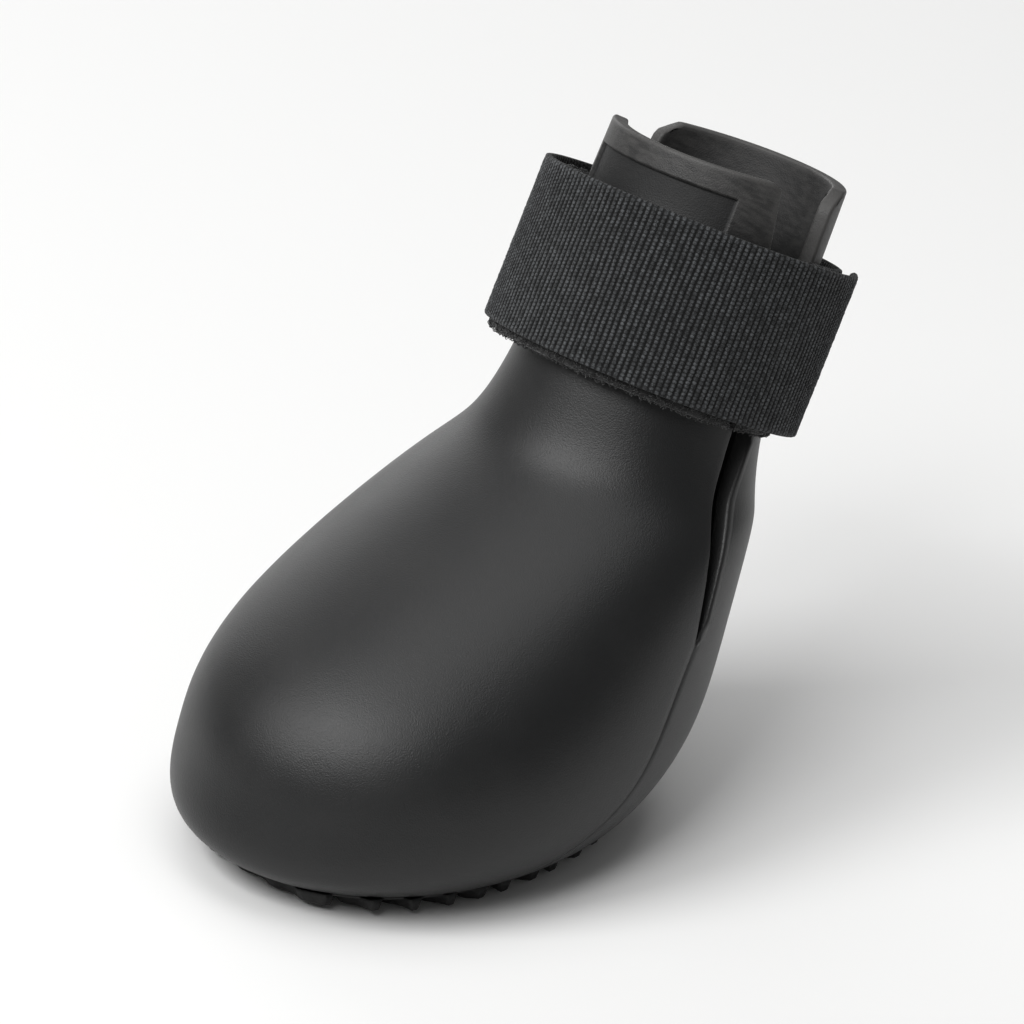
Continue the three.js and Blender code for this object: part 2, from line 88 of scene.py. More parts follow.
class Wire:
    """A value in a node tree. Python's operators on it add Math nodes."""

    def __init__(self, graph: "Graph", socket: bpy.types.NodeSocket) -> None:
        """Wraps an output socket.

        Args:
            graph: the tree that new nodes go into.
            socket: the output socket that holds the value.
        """
        self.graph = graph
        self.socket = socket

    def math(self, operation: str, *others: "Wire | float") -> "Wire":
        """Adds a Math node.

        Args:
            operation: the node's operation.
            others: its second and third values.

        Returns:
            The node's result.
        """
        values = dict(enumerate((self, *others)))
        return self.graph.wire(self.graph.add("ShaderNodeMath", {"operation": operation}, values))

    def __add__(self, other: "Wire | float") -> "Wire":
        """The sum."""
        return self.math("ADD", other)

    __radd__ = __add__

    def __sub__(self, other: "Wire | float") -> "Wire":
        """The difference."""
        return self.math("SUBTRACT", other)

    def __rsub__(self, other: float) -> "Wire":
        """A number less this value."""
        return self * -1 + other

    def __mul__(self, other: "Wire | float") -> "Wire":
        """The product."""
        return self.math("MULTIPLY", other)

    __rmul__ = __mul__

    def __truediv__(self, other: "Wire | float") -> "Wire":
        """The quotient."""
        return self.math("DIVIDE", other)

    def __pow__(self, other: float) -> "Wire":
        """The power."""
        return self.math("POWER", other)

    def vector_math(self, operation: str, *others: "Wire | tuple", output: int = 0) -> "Wire":
        """Adds a Vector Math node and returns one of its results."""
        values = dict(enumerate((self, *others)))
        node = self.graph.add("ShaderNodeVectorMath", {"operation": operation}, values)
        return self.graph.wire(node, output)

    def scaled(self, factor: "Wire | float") -> "Wire":
        """A vector times a number."""
        values = {0: self, "Scale": factor}
        return self.graph.wire(self.graph.add("ShaderNodeVectorMath", {"operation": "SCALE"}, values))

    def axis(self, index: int) -> "Wire":
        """One of a vector's three numbers."""
        return self.graph.wire(self.graph.add("ShaderNodeSeparateXYZ", None, {0: self}), index)

    def hump(self) -> "Wire":
        """A bump that rises from 0 to 1 and back over each whole number."""
        side = self.math("FRACT") * 2 - 1
        return 1 - side * side

    def step(self, low: "Wire | float", high: "Wire | float") -> "Wire":
        """A smooth step from 0 at low to 1 at high."""
        settings = {"interpolation_type": "SMOOTHSTEP"}
        values = {"Value": self, "From Min": low, "From Max": high}
        return self.graph.wire(self.graph.add("ShaderNodeMapRange", settings, values))


class Graph:
    """Adds nodes to one shader or geometry tree."""

    def __init__(self, tree: bpy.types.NodeTree) -> None:
        """Keeps the tree that the nodes go into."""
        self.tree = tree

    def add(self, kind: str, settings: dict | None = None, values: dict | None = None) -> bpy.types.Node:
        """Adds a node.

        Args:
            kind: the node's type.
            settings: its properties, set before its sockets.
            values: numbers, colours, wires or sockets for its inputs, by name or number.

        Returns:
            The new node.
        """
        node = self.tree.nodes.new(kind)
        for name, value in (settings or {}).items():
            setattr(node, name, value)
        for name, value in (values or {}).items():
            socket = node.inputs[name]
            if isinstance(value, Wire):
                self.tree.links.new(value.socket, socket)
            elif isinstance(value, bpy.types.NodeSocket):
                self.tree.links.new(value, socket)
            else:
                socket.default_value = value
        return node

    def wire(self, node: bpy.types.Node, output: str | int = 0) -> Wire:
        """The value that a node's output holds."""
        return Wire(self, node.outputs[output])

    def vector(self, x: Wire | float, y: Wire | float, z: Wire | float) -> Wire:
        """A vector from three numbers."""
        return self.wire(self.add("ShaderNodeCombineXYZ", None, {0: x, 1: y, 2: z}))

    def noise(self, place: Wire, scale: float, detail: float = 2.0, output: int = 0) -> Wire:
        """A noise value, or colour, about 0.5 on average."""
        values = {"Vector": place, "Scale": scale, "Detail": detail}
        return self.wire(self.add("ShaderNodeTexNoise", None, values), output)

    def attribute(self, name: str) -> Wire:
        """A number that the mesh keeps on its points."""
        return self.wire(self.add("ShaderNodeAttribute", {"attribute_name": name}), "Fac")

    def mix(self, factor: Wire | float, first: tuple | Wire, second: tuple | Wire) -> Wire:
        """A colour between two colours."""
        settings = {"data_type": "RGBA"}
        return self.wire(self.add("ShaderNodeMix", settings, {0: factor, 6: first, 7: second}), 2)


class Recipe:
    """A Geometry Nodes tree with named inputs, run once on a piece and baked to a plain mesh."""

    KINDS = {
        float: "NodeSocketFloat",
        int: "NodeSocketInt",
        bpy.types.Object: "NodeSocketObject",
        bpy.types.Material: "NodeSocketMaterial",
    }

    def __init__(self, name: str, inputs: dict[str, Input]) -> None:
        """Makes the tree's sockets.

        Args:
            name: the tree's name.
            inputs: the modifier's inputs and their values, by name.
        """
        self.name = name
        self.tree = bpy.data.node_groups.new(name, "GeometryNodeTree")
        self.graph = Graph(self.tree)
        face = self.tree.interface
        for way in ("INPUT", "OUTPUT"):
            face.new_socket("Geometry", in_out=way, socket_type="NodeSocketGeometry")
        self.values = {}
        for label, value in inputs.items():
            socket = face.new_socket(label, in_out="INPUT", socket_type=self.KINDS[type(value)])
            self.values[socket.identifier] = value
        self.entry = self.graph.add("NodeGroupInput")

    def input(self, label: str = "Geometry") -> Wire:
        """One of the tree's inputs."""
        return Wire(self.graph, self.entry.outputs[label])

    def do(self, kind: str, values: dict, settings: dict | None = None) -> Wire:
        """Adds a node and returns its first output."""
        return self.graph.wire(self.graph.add(kind, settings, values))

    def position(self) -> Wire:
        """The position of each point."""
        return self.graph.wire(self.graph.add("GeometryNodeInputPosition"))

    def store(self, geometry: Wire, name: str, value: Wire | float) -> Wire:
        """Keeps a number on each point under a name."""
        values = {"Geometry": geometry, "Name": name, "Value": value}
        return self.do("GeometryNodeStoreNamedAttribute", values)

    def stored(self, name: str) -> Wire:
        """A number kept on each point."""
        return self.do("GeometryNodeInputNamedAttribute", {"Name": name})

    def run(self, piece: bpy.types.Object, geometry: Wire, material: str = "Material") -> bpy.types.Object:
        """Ends the tree, runs it on a piece and bakes the result.

        Args:
            piece: the object that holds the starting mesh.
            geometry: the tree's result.
            material: the name of the input that holds its finish.

        Returns:
            The plain mesh object.
        """
        real = self.do("GeometryNodeRealizeInstances", {"Geometry": geometry})
        values = {"Geometry": real, "Material": self.input(material)}
        dressed = self.do("GeometryNodeSetMaterial", values)
        self.graph.add("NodeGroupOutput", None, {"Geometry": dressed})
        modifier = piece.modifiers.new(self.name, "NODES")
        modifier.node_group = self.tree
        for identifier, value in self.values.items():
            modifier[identifier] = value
        return settle(piece)


def grey(value: float, warm: float = 0.0) -> tuple[float, float, float, float]:
    """A near-neutral colour, a little warmer or cooler."""
    return (value * (1 + warm), value, value * (1 - warm), 1.0)


@dataclass(frozen=True)
class Section:
    """One ring of the upper: its centre, half sizes and tilt, toe spring, and how egg-shaped it is."""

    y: float
    z: float
    deep: float
    wide: float
    tilt: float = 0.0
    spring: float = 0.0
    egg: float = 0.0

    def values(self) -> list[float]:
        """The sizes in the order of the skin's formula."""
        return [self.y, self.z, self.deep, self.wide, self.tilt, self.spring, self.egg]


@dataclass
class Last:
    """The shape that the upper, the sole and the strap share."""

    foot_length: float = 95.0
    ball_width: float = 67.0
    ankle_height: float = 42.5
    wall: float = 2.3
    tread_length: float = 64.5
    tread_width: float = 50.5
    rib_depth: float = 1.7
    rim_lift: float = 0.7
    rim_edge: float = 0.6
    rim_overhang: float = 1.3
    flat_share: float = 0.75
    spring: float = 0.4
    gap: float = 0.3
    shaft_width: float = 38.0
    shaft_depth: float = 34.0
    lean: float = math.radians(25.9)
    strap_height: float = 70.2
    strap_setback: float = 47.9
    strap_width: float = 25.0
    collar_rise: float = 9.8
    slit_bottom: float = 43.2
    corner: float = 2.8
    slit_rises: tuple[float, ...] = (0.0, 0.08, 0.15, 0.22, 0.3, 0.37, 0.44, 1.0)
    slit_front: tuple[float, ...] = (-0.2, -0.215, -0.22, -0.2, -0.145, -0.09, -0.055, -0.425)
    slit_rear: tuple[float, ...] = (-0.15, -0.135, -0.115, -0.075, 0.0, 0.11, 0.205, 0.235)

    def __post_init__(self) -> None:
        """Works out the side view's directions and the curves through the sections."""
        self.along = np.array([0.0, math.sin(self.lean), math.cos(self.lean)])
        self.behind = np.array([0.0, math.cos(self.lean), -math.sin(self.lean)])
        self.middle = np.array([0.0, self.strap_setback, self.strap_height])
        self.base = self.middle - self.along * self.slit_bottom
        self.sole_rim = self.rib_depth + self.rim_lift + self.rim_edge
        self.collar = self.slit_bottom + self.strap_width / 2 + self.collar_rise
        self.rows = np.array([section.values() for section in self.sections()])
        self.count = len(self.rows) - 1
        self.bend = self._bends(self.rows)

    def sections(self) -> list[Section]:
        """The rings from the sole edge up to the collar."""
        return [self._sole_edge(), *self._foot(), *self._shaft()]

    def _sole_edge(self) -> Section:
        """The ring that lies on the sole's rim."""
        deep = self.tread_length / 2 + self.rim_overhang
        wide = self.tread_width / 2 + self.rim_overhang
        return Section(0, self.sole_rim + self.gap, deep, wide, 0, self.spring)

    def _foot(self) -> list[Section]:
        """The rings of the foot, from a table of shares of the boot's sizes."""
        # level, toe, heel, half width, tilt, spring, egg
        table = [
            (0.182, 0.396, 0.41, 0.93, 0.0, 0.25, 0.02),
            (0.374, 0.374, 0.485, 1.0, 0.0, 0.0, 0.03),
            (0.67, 0.268, 0.542, 0.949, 0.116, 0.0, 0.03),
            (1.0, -0.05, 0.58, 0.8, 0.35, 0.0, 0.02),
        ]
        rings = []
        for level, toe, heel, half, tilt, spring, egg in table:
            y = (heel - toe) * self.foot_length / 2
            deep = (heel + toe) * self.foot_length / 2
            wide = half * self.ball_width / 2
            z = level * self.ankle_height
            rings.append(Section(y, z, deep, wide, tilt * self.lean, spring * self.spring, egg))
        return rings

    def _shaft(self) -> list[Section]:
        """The rings of the shaft, from a table of shares of the strap's width and the shaft's sizes."""
        top = 0.5 + self.collar_rise / self.strap_width
        # rise, depth, width, tilt
        table = [
            (-0.96, 1.14, 1.2, 0.65),
            (-0.56, 1.055, 1.045, 0.87),
            (0.0, 1.0, 1.0, 1.0),
            (top, 0.98, 0.97, 0.74),
        ]
        rings = []
        for rise, deep, wide, tilt in table:
            centre = self.middle + self.along * rise * self.strap_width
            half = (deep * self.shaft_depth / 2, wide * self.shaft_width / 2)
            rings.append(Section(centre[1], centre[2], *half, tilt * self.lean))
        return rings

    @staticmethod
    def _bends(rows: np.ndarray) -> np.ndarray:
        """The second differences of natural cubic curves through the rows."""
        size = len(rows)
        system = np.eye(size)
        steps = np.zeros_like(rows)
        for i in range(1, size - 1):
            system[i, i - 1 : i + 2] = (1, 4, 1)
            steps[i] = 6 * (rows[i + 1] - 2 * rows[i] + rows[i - 1])
        return np.linalg.solve(system, steps)

    def ring(self, t: np.ndarray) -> np.ndarray:
        """The section's values at levels t, from 0 at the sole edge to 1 at the collar."""
        place = np.asarray(t, float) * self.count
        i = np.clip(np.floor(place).astype(int), 0, self.count - 1)
        b = (place - i)[..., None]
        a = 1 - b
        curve = ((a**3 - a) * self.bend[i] + (b**3 - b) * self.bend[i + 1]) / 6
        return a * self.rows[i] + b * self.rows[i + 1] + curve

    def skin(self, t: np.ndarray, u: np.ndarray) -> np.ndarray:
        """Points of the outer skin.

        Args:
            t: levels, from 0 at the sole edge to 1 at the collar.
            u: angles from the toe towards the left side.

        Returns:
            The points, with their coordinates in the last axis.
        """
        t, u = np.broadcast_arrays(t, u)
        y, z, deep, wide, tilt, spring, egg = np.moveaxis(self.ring(t), -1, 0)
        ahead = np.cos(u) * deep
        x = np.sin(u) * wide * (1 + egg * np.cos(u))
        lift = spring * np.abs(np.cos(u)) ** 3
        return np.stack([x, y - ahead * np.cos(tilt), z + ahead * np.sin(tilt) + lift], -1)

    def normal(self, t: np.ndarray, u: np.ndarray) -> np.ndarray:
        """The skin's outward directions at the same places as skin."""
        step = 1e-3
        around = self.skin(t, u + step) - self.skin(t, u - step)
        up = self.skin(t + step, u) - self.skin(t - step, u)
        normal = np.cross(around, up)
        return normal / np.linalg.norm(normal, axis=-1, keepdims=True)

    def side_view(self, t: np.ndarray, u: np.ndarray) -> tuple[np.ndarray, np.ndarray]:
        """How far the skin's points rise above the slits' bottom and lie behind the shaft's middle."""
        place = self.skin(t, u) - self.base
        return place @ self.along, place @ self.behind

    def edge_offset(self, rise: np.ndarray, edge: Edge) -> np.ndarray:
        """Where a slit's edge lies behind the middle line, with the flap's round corner at its top."""
        rises = np.array(self.slit_rises) * self.collar
        shares = self.slit_front if edge is Edge.FRONT else self.slit_rear
        start = self.collar - self.corner
        offset = np.interp(np.clip(rise, 0, start), rises, np.array(shares) * self.shaft_depth / 2)
        over = np.clip(rise - start, 0, self.corner)
        return offset + edge.value * (self.corner - np.sqrt(self.corner**2 - over**2))

    def edge_turn(self, t: np.ndarray, edge: Edge) -> np.ndarray:
        """The angle of a slit's edge at each level, found by halving."""
        margin = 0.2
        halvings = 40
        low = np.full_like(t, margin)
        high = np.full_like(t, math.pi - margin)
        for _ in range(halvings):
            middle = (low + high) / 2
            rise, offset = self.side_view(t, middle)
            ahead = offset < self.edge_offset(rise, edge)
            low = np.where(ahead, middle, low)
            high = np.where(ahead, high, middle)
        return (low + high) / 2

    def level_below_collar(self, distance: float) -> float:
        """The level a distance below the collar, down to the strap's middle."""
        return 1 - distance / (self.collar_rise + self.strap_width / 2) / self.count

    def rim_z(self, u: np.ndarray) -> np.ndarray:
        """Height of the sole rim's top."""
        return self.sole_rim + self.spring * np.abs(np.cos(u)) ** 3

    def tread_lift(self, share: np.ndarray, u: np.ndarray) -> np.ndarray:
        """How far the tread rises off the floor, by its share of the way to the outline and its angle."""
        past = np.clip((share - self.flat_share) / (1 - self.flat_share), 0, None)
        return past**2 * (self.rim_lift + self.spring * np.abs(np.cos(u)) ** 3)


def mesh_object(name: str, points: np.ndarray, faces: Sequence[Sequence[int]]) -> bpy.types.Object:
    """Makes a smooth-shaded mesh object from points in millimetres.

    Args:
        name: the object's name.
        points: the vertices.
        faces: their numbers, face by face.

    Returns:
        The object, linked to the scene, at the origin.
    """
    mesh = bpy.data.meshes.new(name)
    mesh.from_pydata([tuple(point) for point in points * MM], [], [list(face) for face in faces])
    mesh.validate()
    mesh.shade_smooth()
    piece = bpy.data.objects.new(name, mesh)
    bpy.context.scene.collection.objects.link(piece)
    return piece


def polyline(name: str, points: np.ndarray, closed: bool = False) -> bpy.types.Object:
    """Makes an object of edges only, from points in millimetres."""
    count = len(points)
    edges = [(i, (i + 1) % count) for i in range(count if closed else count - 1)]
    mesh = bpy.data.meshes.new(name)
    mesh.from_pydata([tuple(point) for point in points * MM], edges, [])
    piece = bpy.data.objects.new(name, mesh)
    bpy.context.scene.collection.objects.link(piece)
    return piece


def settle(piece: bpy.types.Object) -> bpy.types.Object:
    """Turns a piece's modifiers, or its curve, into a plain mesh.

    Args:
        piece: an object with live modifiers.

    Returns:
        A mesh object of the same name, with none.
    """
    bpy.context.view_layer.update()
    graph = bpy.context.evaluated_depsgraph_get()
    mesh = bpy.data.meshes.new_from_object(piece.evaluated_get(graph), depsgraph=graph)
    name = piece.name
    bpy.data.objects.remove(piece)
    settled = bpy.data.objects.new(name, mesh)
    bpy.context.scene.collection.objects.link(settled)
    mesh.name = name
    mesh.shade_smooth()
    return settled


def face_outwards(piece: bpy.types.Object) -> None:
    """Merges a closed mesh's doubles and turns its faces out."""
    work = bmesh.new()
    work.from_mesh(piece.data)
    bmesh.ops.remove_doubles(work, verts=work.verts, dist=1e-6)
    bmesh.ops.recalc_face_normals(work, faces=work.faces)
    work.to_mesh(piece.data)
    work.free()


def capped_rings(name: str, rings: Sequence[np.ndarray], ends: Sequence[Sequence[float]]) -> bpy.types.Object:
    """Makes a closed mesh from rings of points, with a fan over each end.

    Args:
        name: the object's name.
        rings: the rings, each with as many points.
        ends: the middle of the first ring's fan, and of the last one's.

    Returns:
        The object, with its faces turned out.
    """
    count = len(rings[0])
    points = np.concatenate([*rings, ends])
    faces = []
    for ring in range(len(rings) - 1):
        for j in range(count):
            a, b = ring * count + j, ring * count + (j + 1) % count
            faces.append((a, b, b + count, a + count))
    start = (len(rings) - 1) * count
    bottom, top = len(points) - 2, len(points) - 1
    for j in range(count):
        k = (j + 1) % count
        faces.append((bottom, k, j))
        faces.append((top, start + j, start + k))
    piece = mesh_object(name, points, faces)
    face_outwards(piece)
    return piece


def finish_piece(piece: bpy.types.Object, layer: Layer, material: bpy.types.Material, *nodes: str) -> None:
    """Dresses a piece and ties it to the frame.

    Args:
        piece: the finished mesh.
        layer: the record's slot that it belongs to; not used.
        material: its finish.
        nodes: the CAD nodes that it stands for.
    """
    if not piece.data.materials:
        piece.data.materials.append(material)
    else:
        piece.data.materials[0] = material
    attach(piece, BODY)
    if nodes:
        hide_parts(*nodes)
    log.info("%s: %d faces for %s", piece.name, len(piece.data.polygons), ", ".join(nodes) or "no node")


def surface(name: str) -> tuple[bpy.types.Material, Graph, Wire]:
    """Starts a finish.

    Args:
        name: the material's name.

    Returns:
        The material, its empty tree and the place on the piece.
    """
    material = bpy.data.materials.new(name)
    material.use_nodes = True
    material.node_tree.nodes.clear()
    graph = Graph(material.node_tree)
    return material, graph, graph.wire(graph.add("ShaderNodeTexCoord"), "Object")


def shade(
    graph: Graph, colour: Wire, roughness: Wire | float, bump: Wire, depth: float, **constants: float
) -> None:
    """Ends a finish with a Principled shader.

    Args:
        graph: the finish's tree.
        colour: its base colour.
        roughness: its roughness.
        bump: the height of its fine relief, from 0 to 1.
        depth: how deep that relief is, in metres.
        constants: plain numbers for the shader's other sockets, by name with underscores for spaces.
    """
    relief = graph.add("ShaderNodeBump", None, {"Strength": 1.0, "Distance": depth, "Height": bump})
    values = {"Base Color": colour, "Roughness": roughness, "Normal": graph.wire(relief)}
    values |= {name.replace("_", " "): value for name, value in constants.items()}
    shader = graph.add("ShaderNodeBsdfPrincipled", None, values)
    graph.add("ShaderNodeOutputMaterial", None, {"Surface": shader.outputs[0]})


@dataclass(frozen=True)
class MouldedRubber:
    """Satin black silicone rubber with a fine grain, greyed by handling on the flaps, with a painted
    highlight on its rims.
    """

    last: Last
    name: str = "moulded_rubber"
    colour: float = 0.0075
    # The grey of the handled flaps, also used for the painted edge highlight on the rims.
    wear_and_highlight_grey: float = 0.052
    roughness: float = 0.4
    grain: float = 0.00006
    bubble: tuple[float, float, float] = (-2.3, 7.4, 52.0)

    def material(self) -> bpy.types.Material:
        """Builds the finish."""
        material, graph, place = surface(self.name)
        cloud = graph.noise(place, 55.0, 6.0)
        grain = graph.noise(place, 4600.0, 2.0)
        rise = place.vector_math("SUBTRACT", tuple(self.last.middle * MM))
        rise = rise.vector_math("DOT_PRODUCT", tuple(self.last.along), output=1)
        top = self.last.strap_width / 2 * MM
        flap = rise.step(top - 4 * MM, top + 3 * MM)
        streak = graph.noise(graph.vector(place.axis(0), place.axis(1), rise * 3.0), 420.0, 7.0)
        rim = graph.attribute("rim")
        seat = graph.attribute("seat")
        dark, light = grey(self.colour * 0.9, -0.05), grey(self.colour * 1.3, -0.02)
        base = graph.mix(cloud.step(0.35, 0.7), dark, light)
        handled = flap * (1 - seat * 0.85) * (streak.step(0.3, 0.7) * 0.6 + 0.3)
        # Painted edge highlight: rim paints the rims lighter, most on the flaps, on top of the flaps' greying
        # by handling.
        wear_and_rim_highlight = (handled + rim * (flap * 0.5 + 0.06)).math("MINIMUM", 1.0)
        base = graph.mix(wear_and_rim_highlight, base, grey(self.wear_and_highlight_grey, 0.03))
        roughness = cloud.step(0.3, 0.75) * 0.06 + (grain - 0.5) * 0.1 + self.roughness
        roughness = roughness + handled * 0.18 + seat * (flap * 0.22)
        away = place.vector_math("DISTANCE", tuple(value * MM for value in self.bubble), output=1)
        spot = 1 - away.step(0.3 * MM, 0.75 * MM)
        bump = grain * 0.85 + graph.noise(place, 700.0, 2.0) * (flap * 0.4 + 0.2) + spot * 1.5
        shade(graph, base, roughness, bump, self.grain, IOR=1.46)
        return material


@dataclass(frozen=True)
class TreadRubber:
    """Matte black rubber, rough and finely striated on the ribs."""

    name: str = "tread_rubber"
    colour: float = 0.008
    roughness: float = 0.62
    depth: float = 0.00006

    def material(self) -> bpy.types.Material:
        """Builds the finish."""
        material, graph, place = surface(self.name)
        streaks = graph.noise(place.vector_math("MULTIPLY", (1.0, 0.12, 0.5)), 4200.0, 3.0)
        speck = graph.noise(place, 1500.0, 4.0)
        hump = graph.attribute("hump")
        base = graph.mix(speck.step(0.35, 0.7), grey(self.colour * 0.75), grey(self.colour * 1.5))
        roughness = speck * 0.12 + hump * 0.14 + self.roughness - 0.08
        shade(graph, base, roughness, speck * 0.3 + streaks * hump, self.depth, IOR=1.46)
        return material


@dataclass(frozen=True)
class Webbing:
    """Black nylon webbing whose raised threads are painted lighter as a highlight, with painted shade in the
    gaps between them.
    """

    name: str = "webbing"
    # dark is the gaps' colour, a painted shade; light is the raised threads' painted highlight.
    dark: float = 0.0018
    light: float = 0.085
    roughness: float = 0.7
    depth: float = 0.00016

    def material(self) -> bpy.types.Material:
        """Builds the finish."""
        material, graph, place = surface(self.name)
        cords = graph.attribute("cords")
        bead = (graph.attribute("beads") + cords.math("FLOOR") * 0.5).hump()
        thread = graph.noise(place, 3800.0, 3.0)
        broad = graph.noise(place, 90.0, 3.0)
        weave = (cords.hump() * (bead * 0.55 + 0.45)).step(0.25, 0.85)
        clump = graph.noise(place, 1000.0, 2.0).step(0.3, 0.7) * 0.75 + 0.4
        # Painted highlight: the raised threads and the corded edges are painted lighter, and the gaps keep
        # the dark colour as painted shade.
        painted_highlight = weave * graph.attribute("face") * (thread.step(0.3, 0.7) * 0.8 + 0.3)
        painted_highlight = painted_highlight * (broad * 0.6 + 0.7) * clump + graph.attribute("hem") * 0.06
        base = graph.mix(painted_highlight.math("MINIMUM", 1.0), grey(self.dark, -0.04), grey(self.light, -0.05))
        roughness = thread * 0.2 + self.roughness
        shade(graph, base, roughness, thread * 0.5 + weave, self.depth, IOR=1.3, Sheen_Weight=0.08)
        return material


@dataclass(frozen=True)
class Fluff:
    """A black fibrous finish with specks of lighter thread."""

    name: str
    dark: float
    light: float
    roughness: float = 0.85
    depth: float = 0.00015

    def material(self) -> bpy.types.Material:
        """Builds the finish."""
        material, graph, place = surface(self.name)
        fuzz = graph.noise(place, 2300.0, 4.0)
        base = graph.mix(fuzz.step(0.42, 0.72), grey(self.dark), grey(self.light, -0.03))
        shade(graph, base, fuzz * 0.1 + self.roughness - 0.05, fuzz, self.depth, Sheen_Weight=0.3)
        return material


@dataclass
class Wall:
    """A wall built from one skin's lattice, with round rims wherever the lattice ends."""

    points: np.ndarray
    normals: np.ndarray
    thickness: np.ndarray
    faces: np.ndarray
    seat: np.ndarray
    radius: float = 0.45
    segments: int = 4
    rim_start: float = 0.7
    inner_seat: float = 0.5

    def _ends(self) -> tuple[list[tuple[int, int]], dict[int, np.ndarray]]:
        """Finds the lattice's open sides.

        Returns:
            Pairs of points along them, and for each point the direction out of the lattice.
        """
        sides = [(int(face[k]), int(face[(k + 1) % 4])) for face in self.faces for k in range(4)]
        known = set(sides)
        ends = [(a, b) for a, b in sides if (b, a) not in known]
        outward: dict[int, np.ndarray] = {}
        for a, b in ends:
            along = self.points[b] - self.points[a]
            for point in (a, b):
                out = np.cross(along, self.normals[point])
                outward[point] = outward.get(point, np.zeros(3)) + out / np.linalg.norm(out)
        return ends, {point: out / np.linalg.norm(out) for point, out in outward.items()}

    def build(self, name: str) -> bpy.types.Object:
        """Makes the wall, with point attributes that mark its rims and the strap's seat."""
        ends, outward = self._ends()
        used = np.unique(self.faces)
        number = np.full(len(self.points), -1)
        number[used] = np.arange(len(used))
        size = len(used)
        outer = self.points[used].copy()
        inner = outer - self.normals[used] * self.thickness[used, None]
        rim = np.zeros(2 * size)
        extra = []
        first = {}
        angles = np.linspace(0, math.pi / 2, self.segments + 1)
        for point, out in outward.items():
            k = number[point]
            normal, wall, r = self.normals[point], self.thickness[point], self.radius
            arc = [(r * math.sin(a) - r, r * math.cos(a) - r) for a in angles[1:]]
            profile = arc + [(b, -wall - n) for b, n in reversed(arc)]
            first[k] = 2 * size + len(extra)
            extra += [self.points[point] + out * b + normal * n for b, n in profile]
            outer[k] -= out * r
            inner[k] -= out * r
            rim[[k, size + k]] = self.rim_start
        last = 2 * self.segments - 1
        skins = number[self.faces]
        faces = [*skins.tolist(), *(skins[:, ::-1] + size).tolist()]
        for a, b in ends:
            a, b = int(number[a]), int(number[b])
            chain = [(a, b), *((first[a] + k, first[b] + k) for k in range(last + 1)), (size + a, size + b)]
            for (near, far), (near_next, far_next) in zip(chain, chain[1:]):
                faces.append((far, near, near_next, far_next))
        piece = mesh_object(name, np.concatenate([outer, inner, np.array(extra)]), faces)
        seat = np.zeros(len(rim) + len(extra))
        seat[:size] = self.seat[used]
        seat[size : 2 * size] = self.inner_seat
        for label, values in (("rim", np.concatenate([rim, np.ones(len(extra))])), ("seat", seat)):
            layer = piece.data.attributes.new(label, "FLOAT", "POINT")
            layer.data.foreach_set("value", values)
        return piece


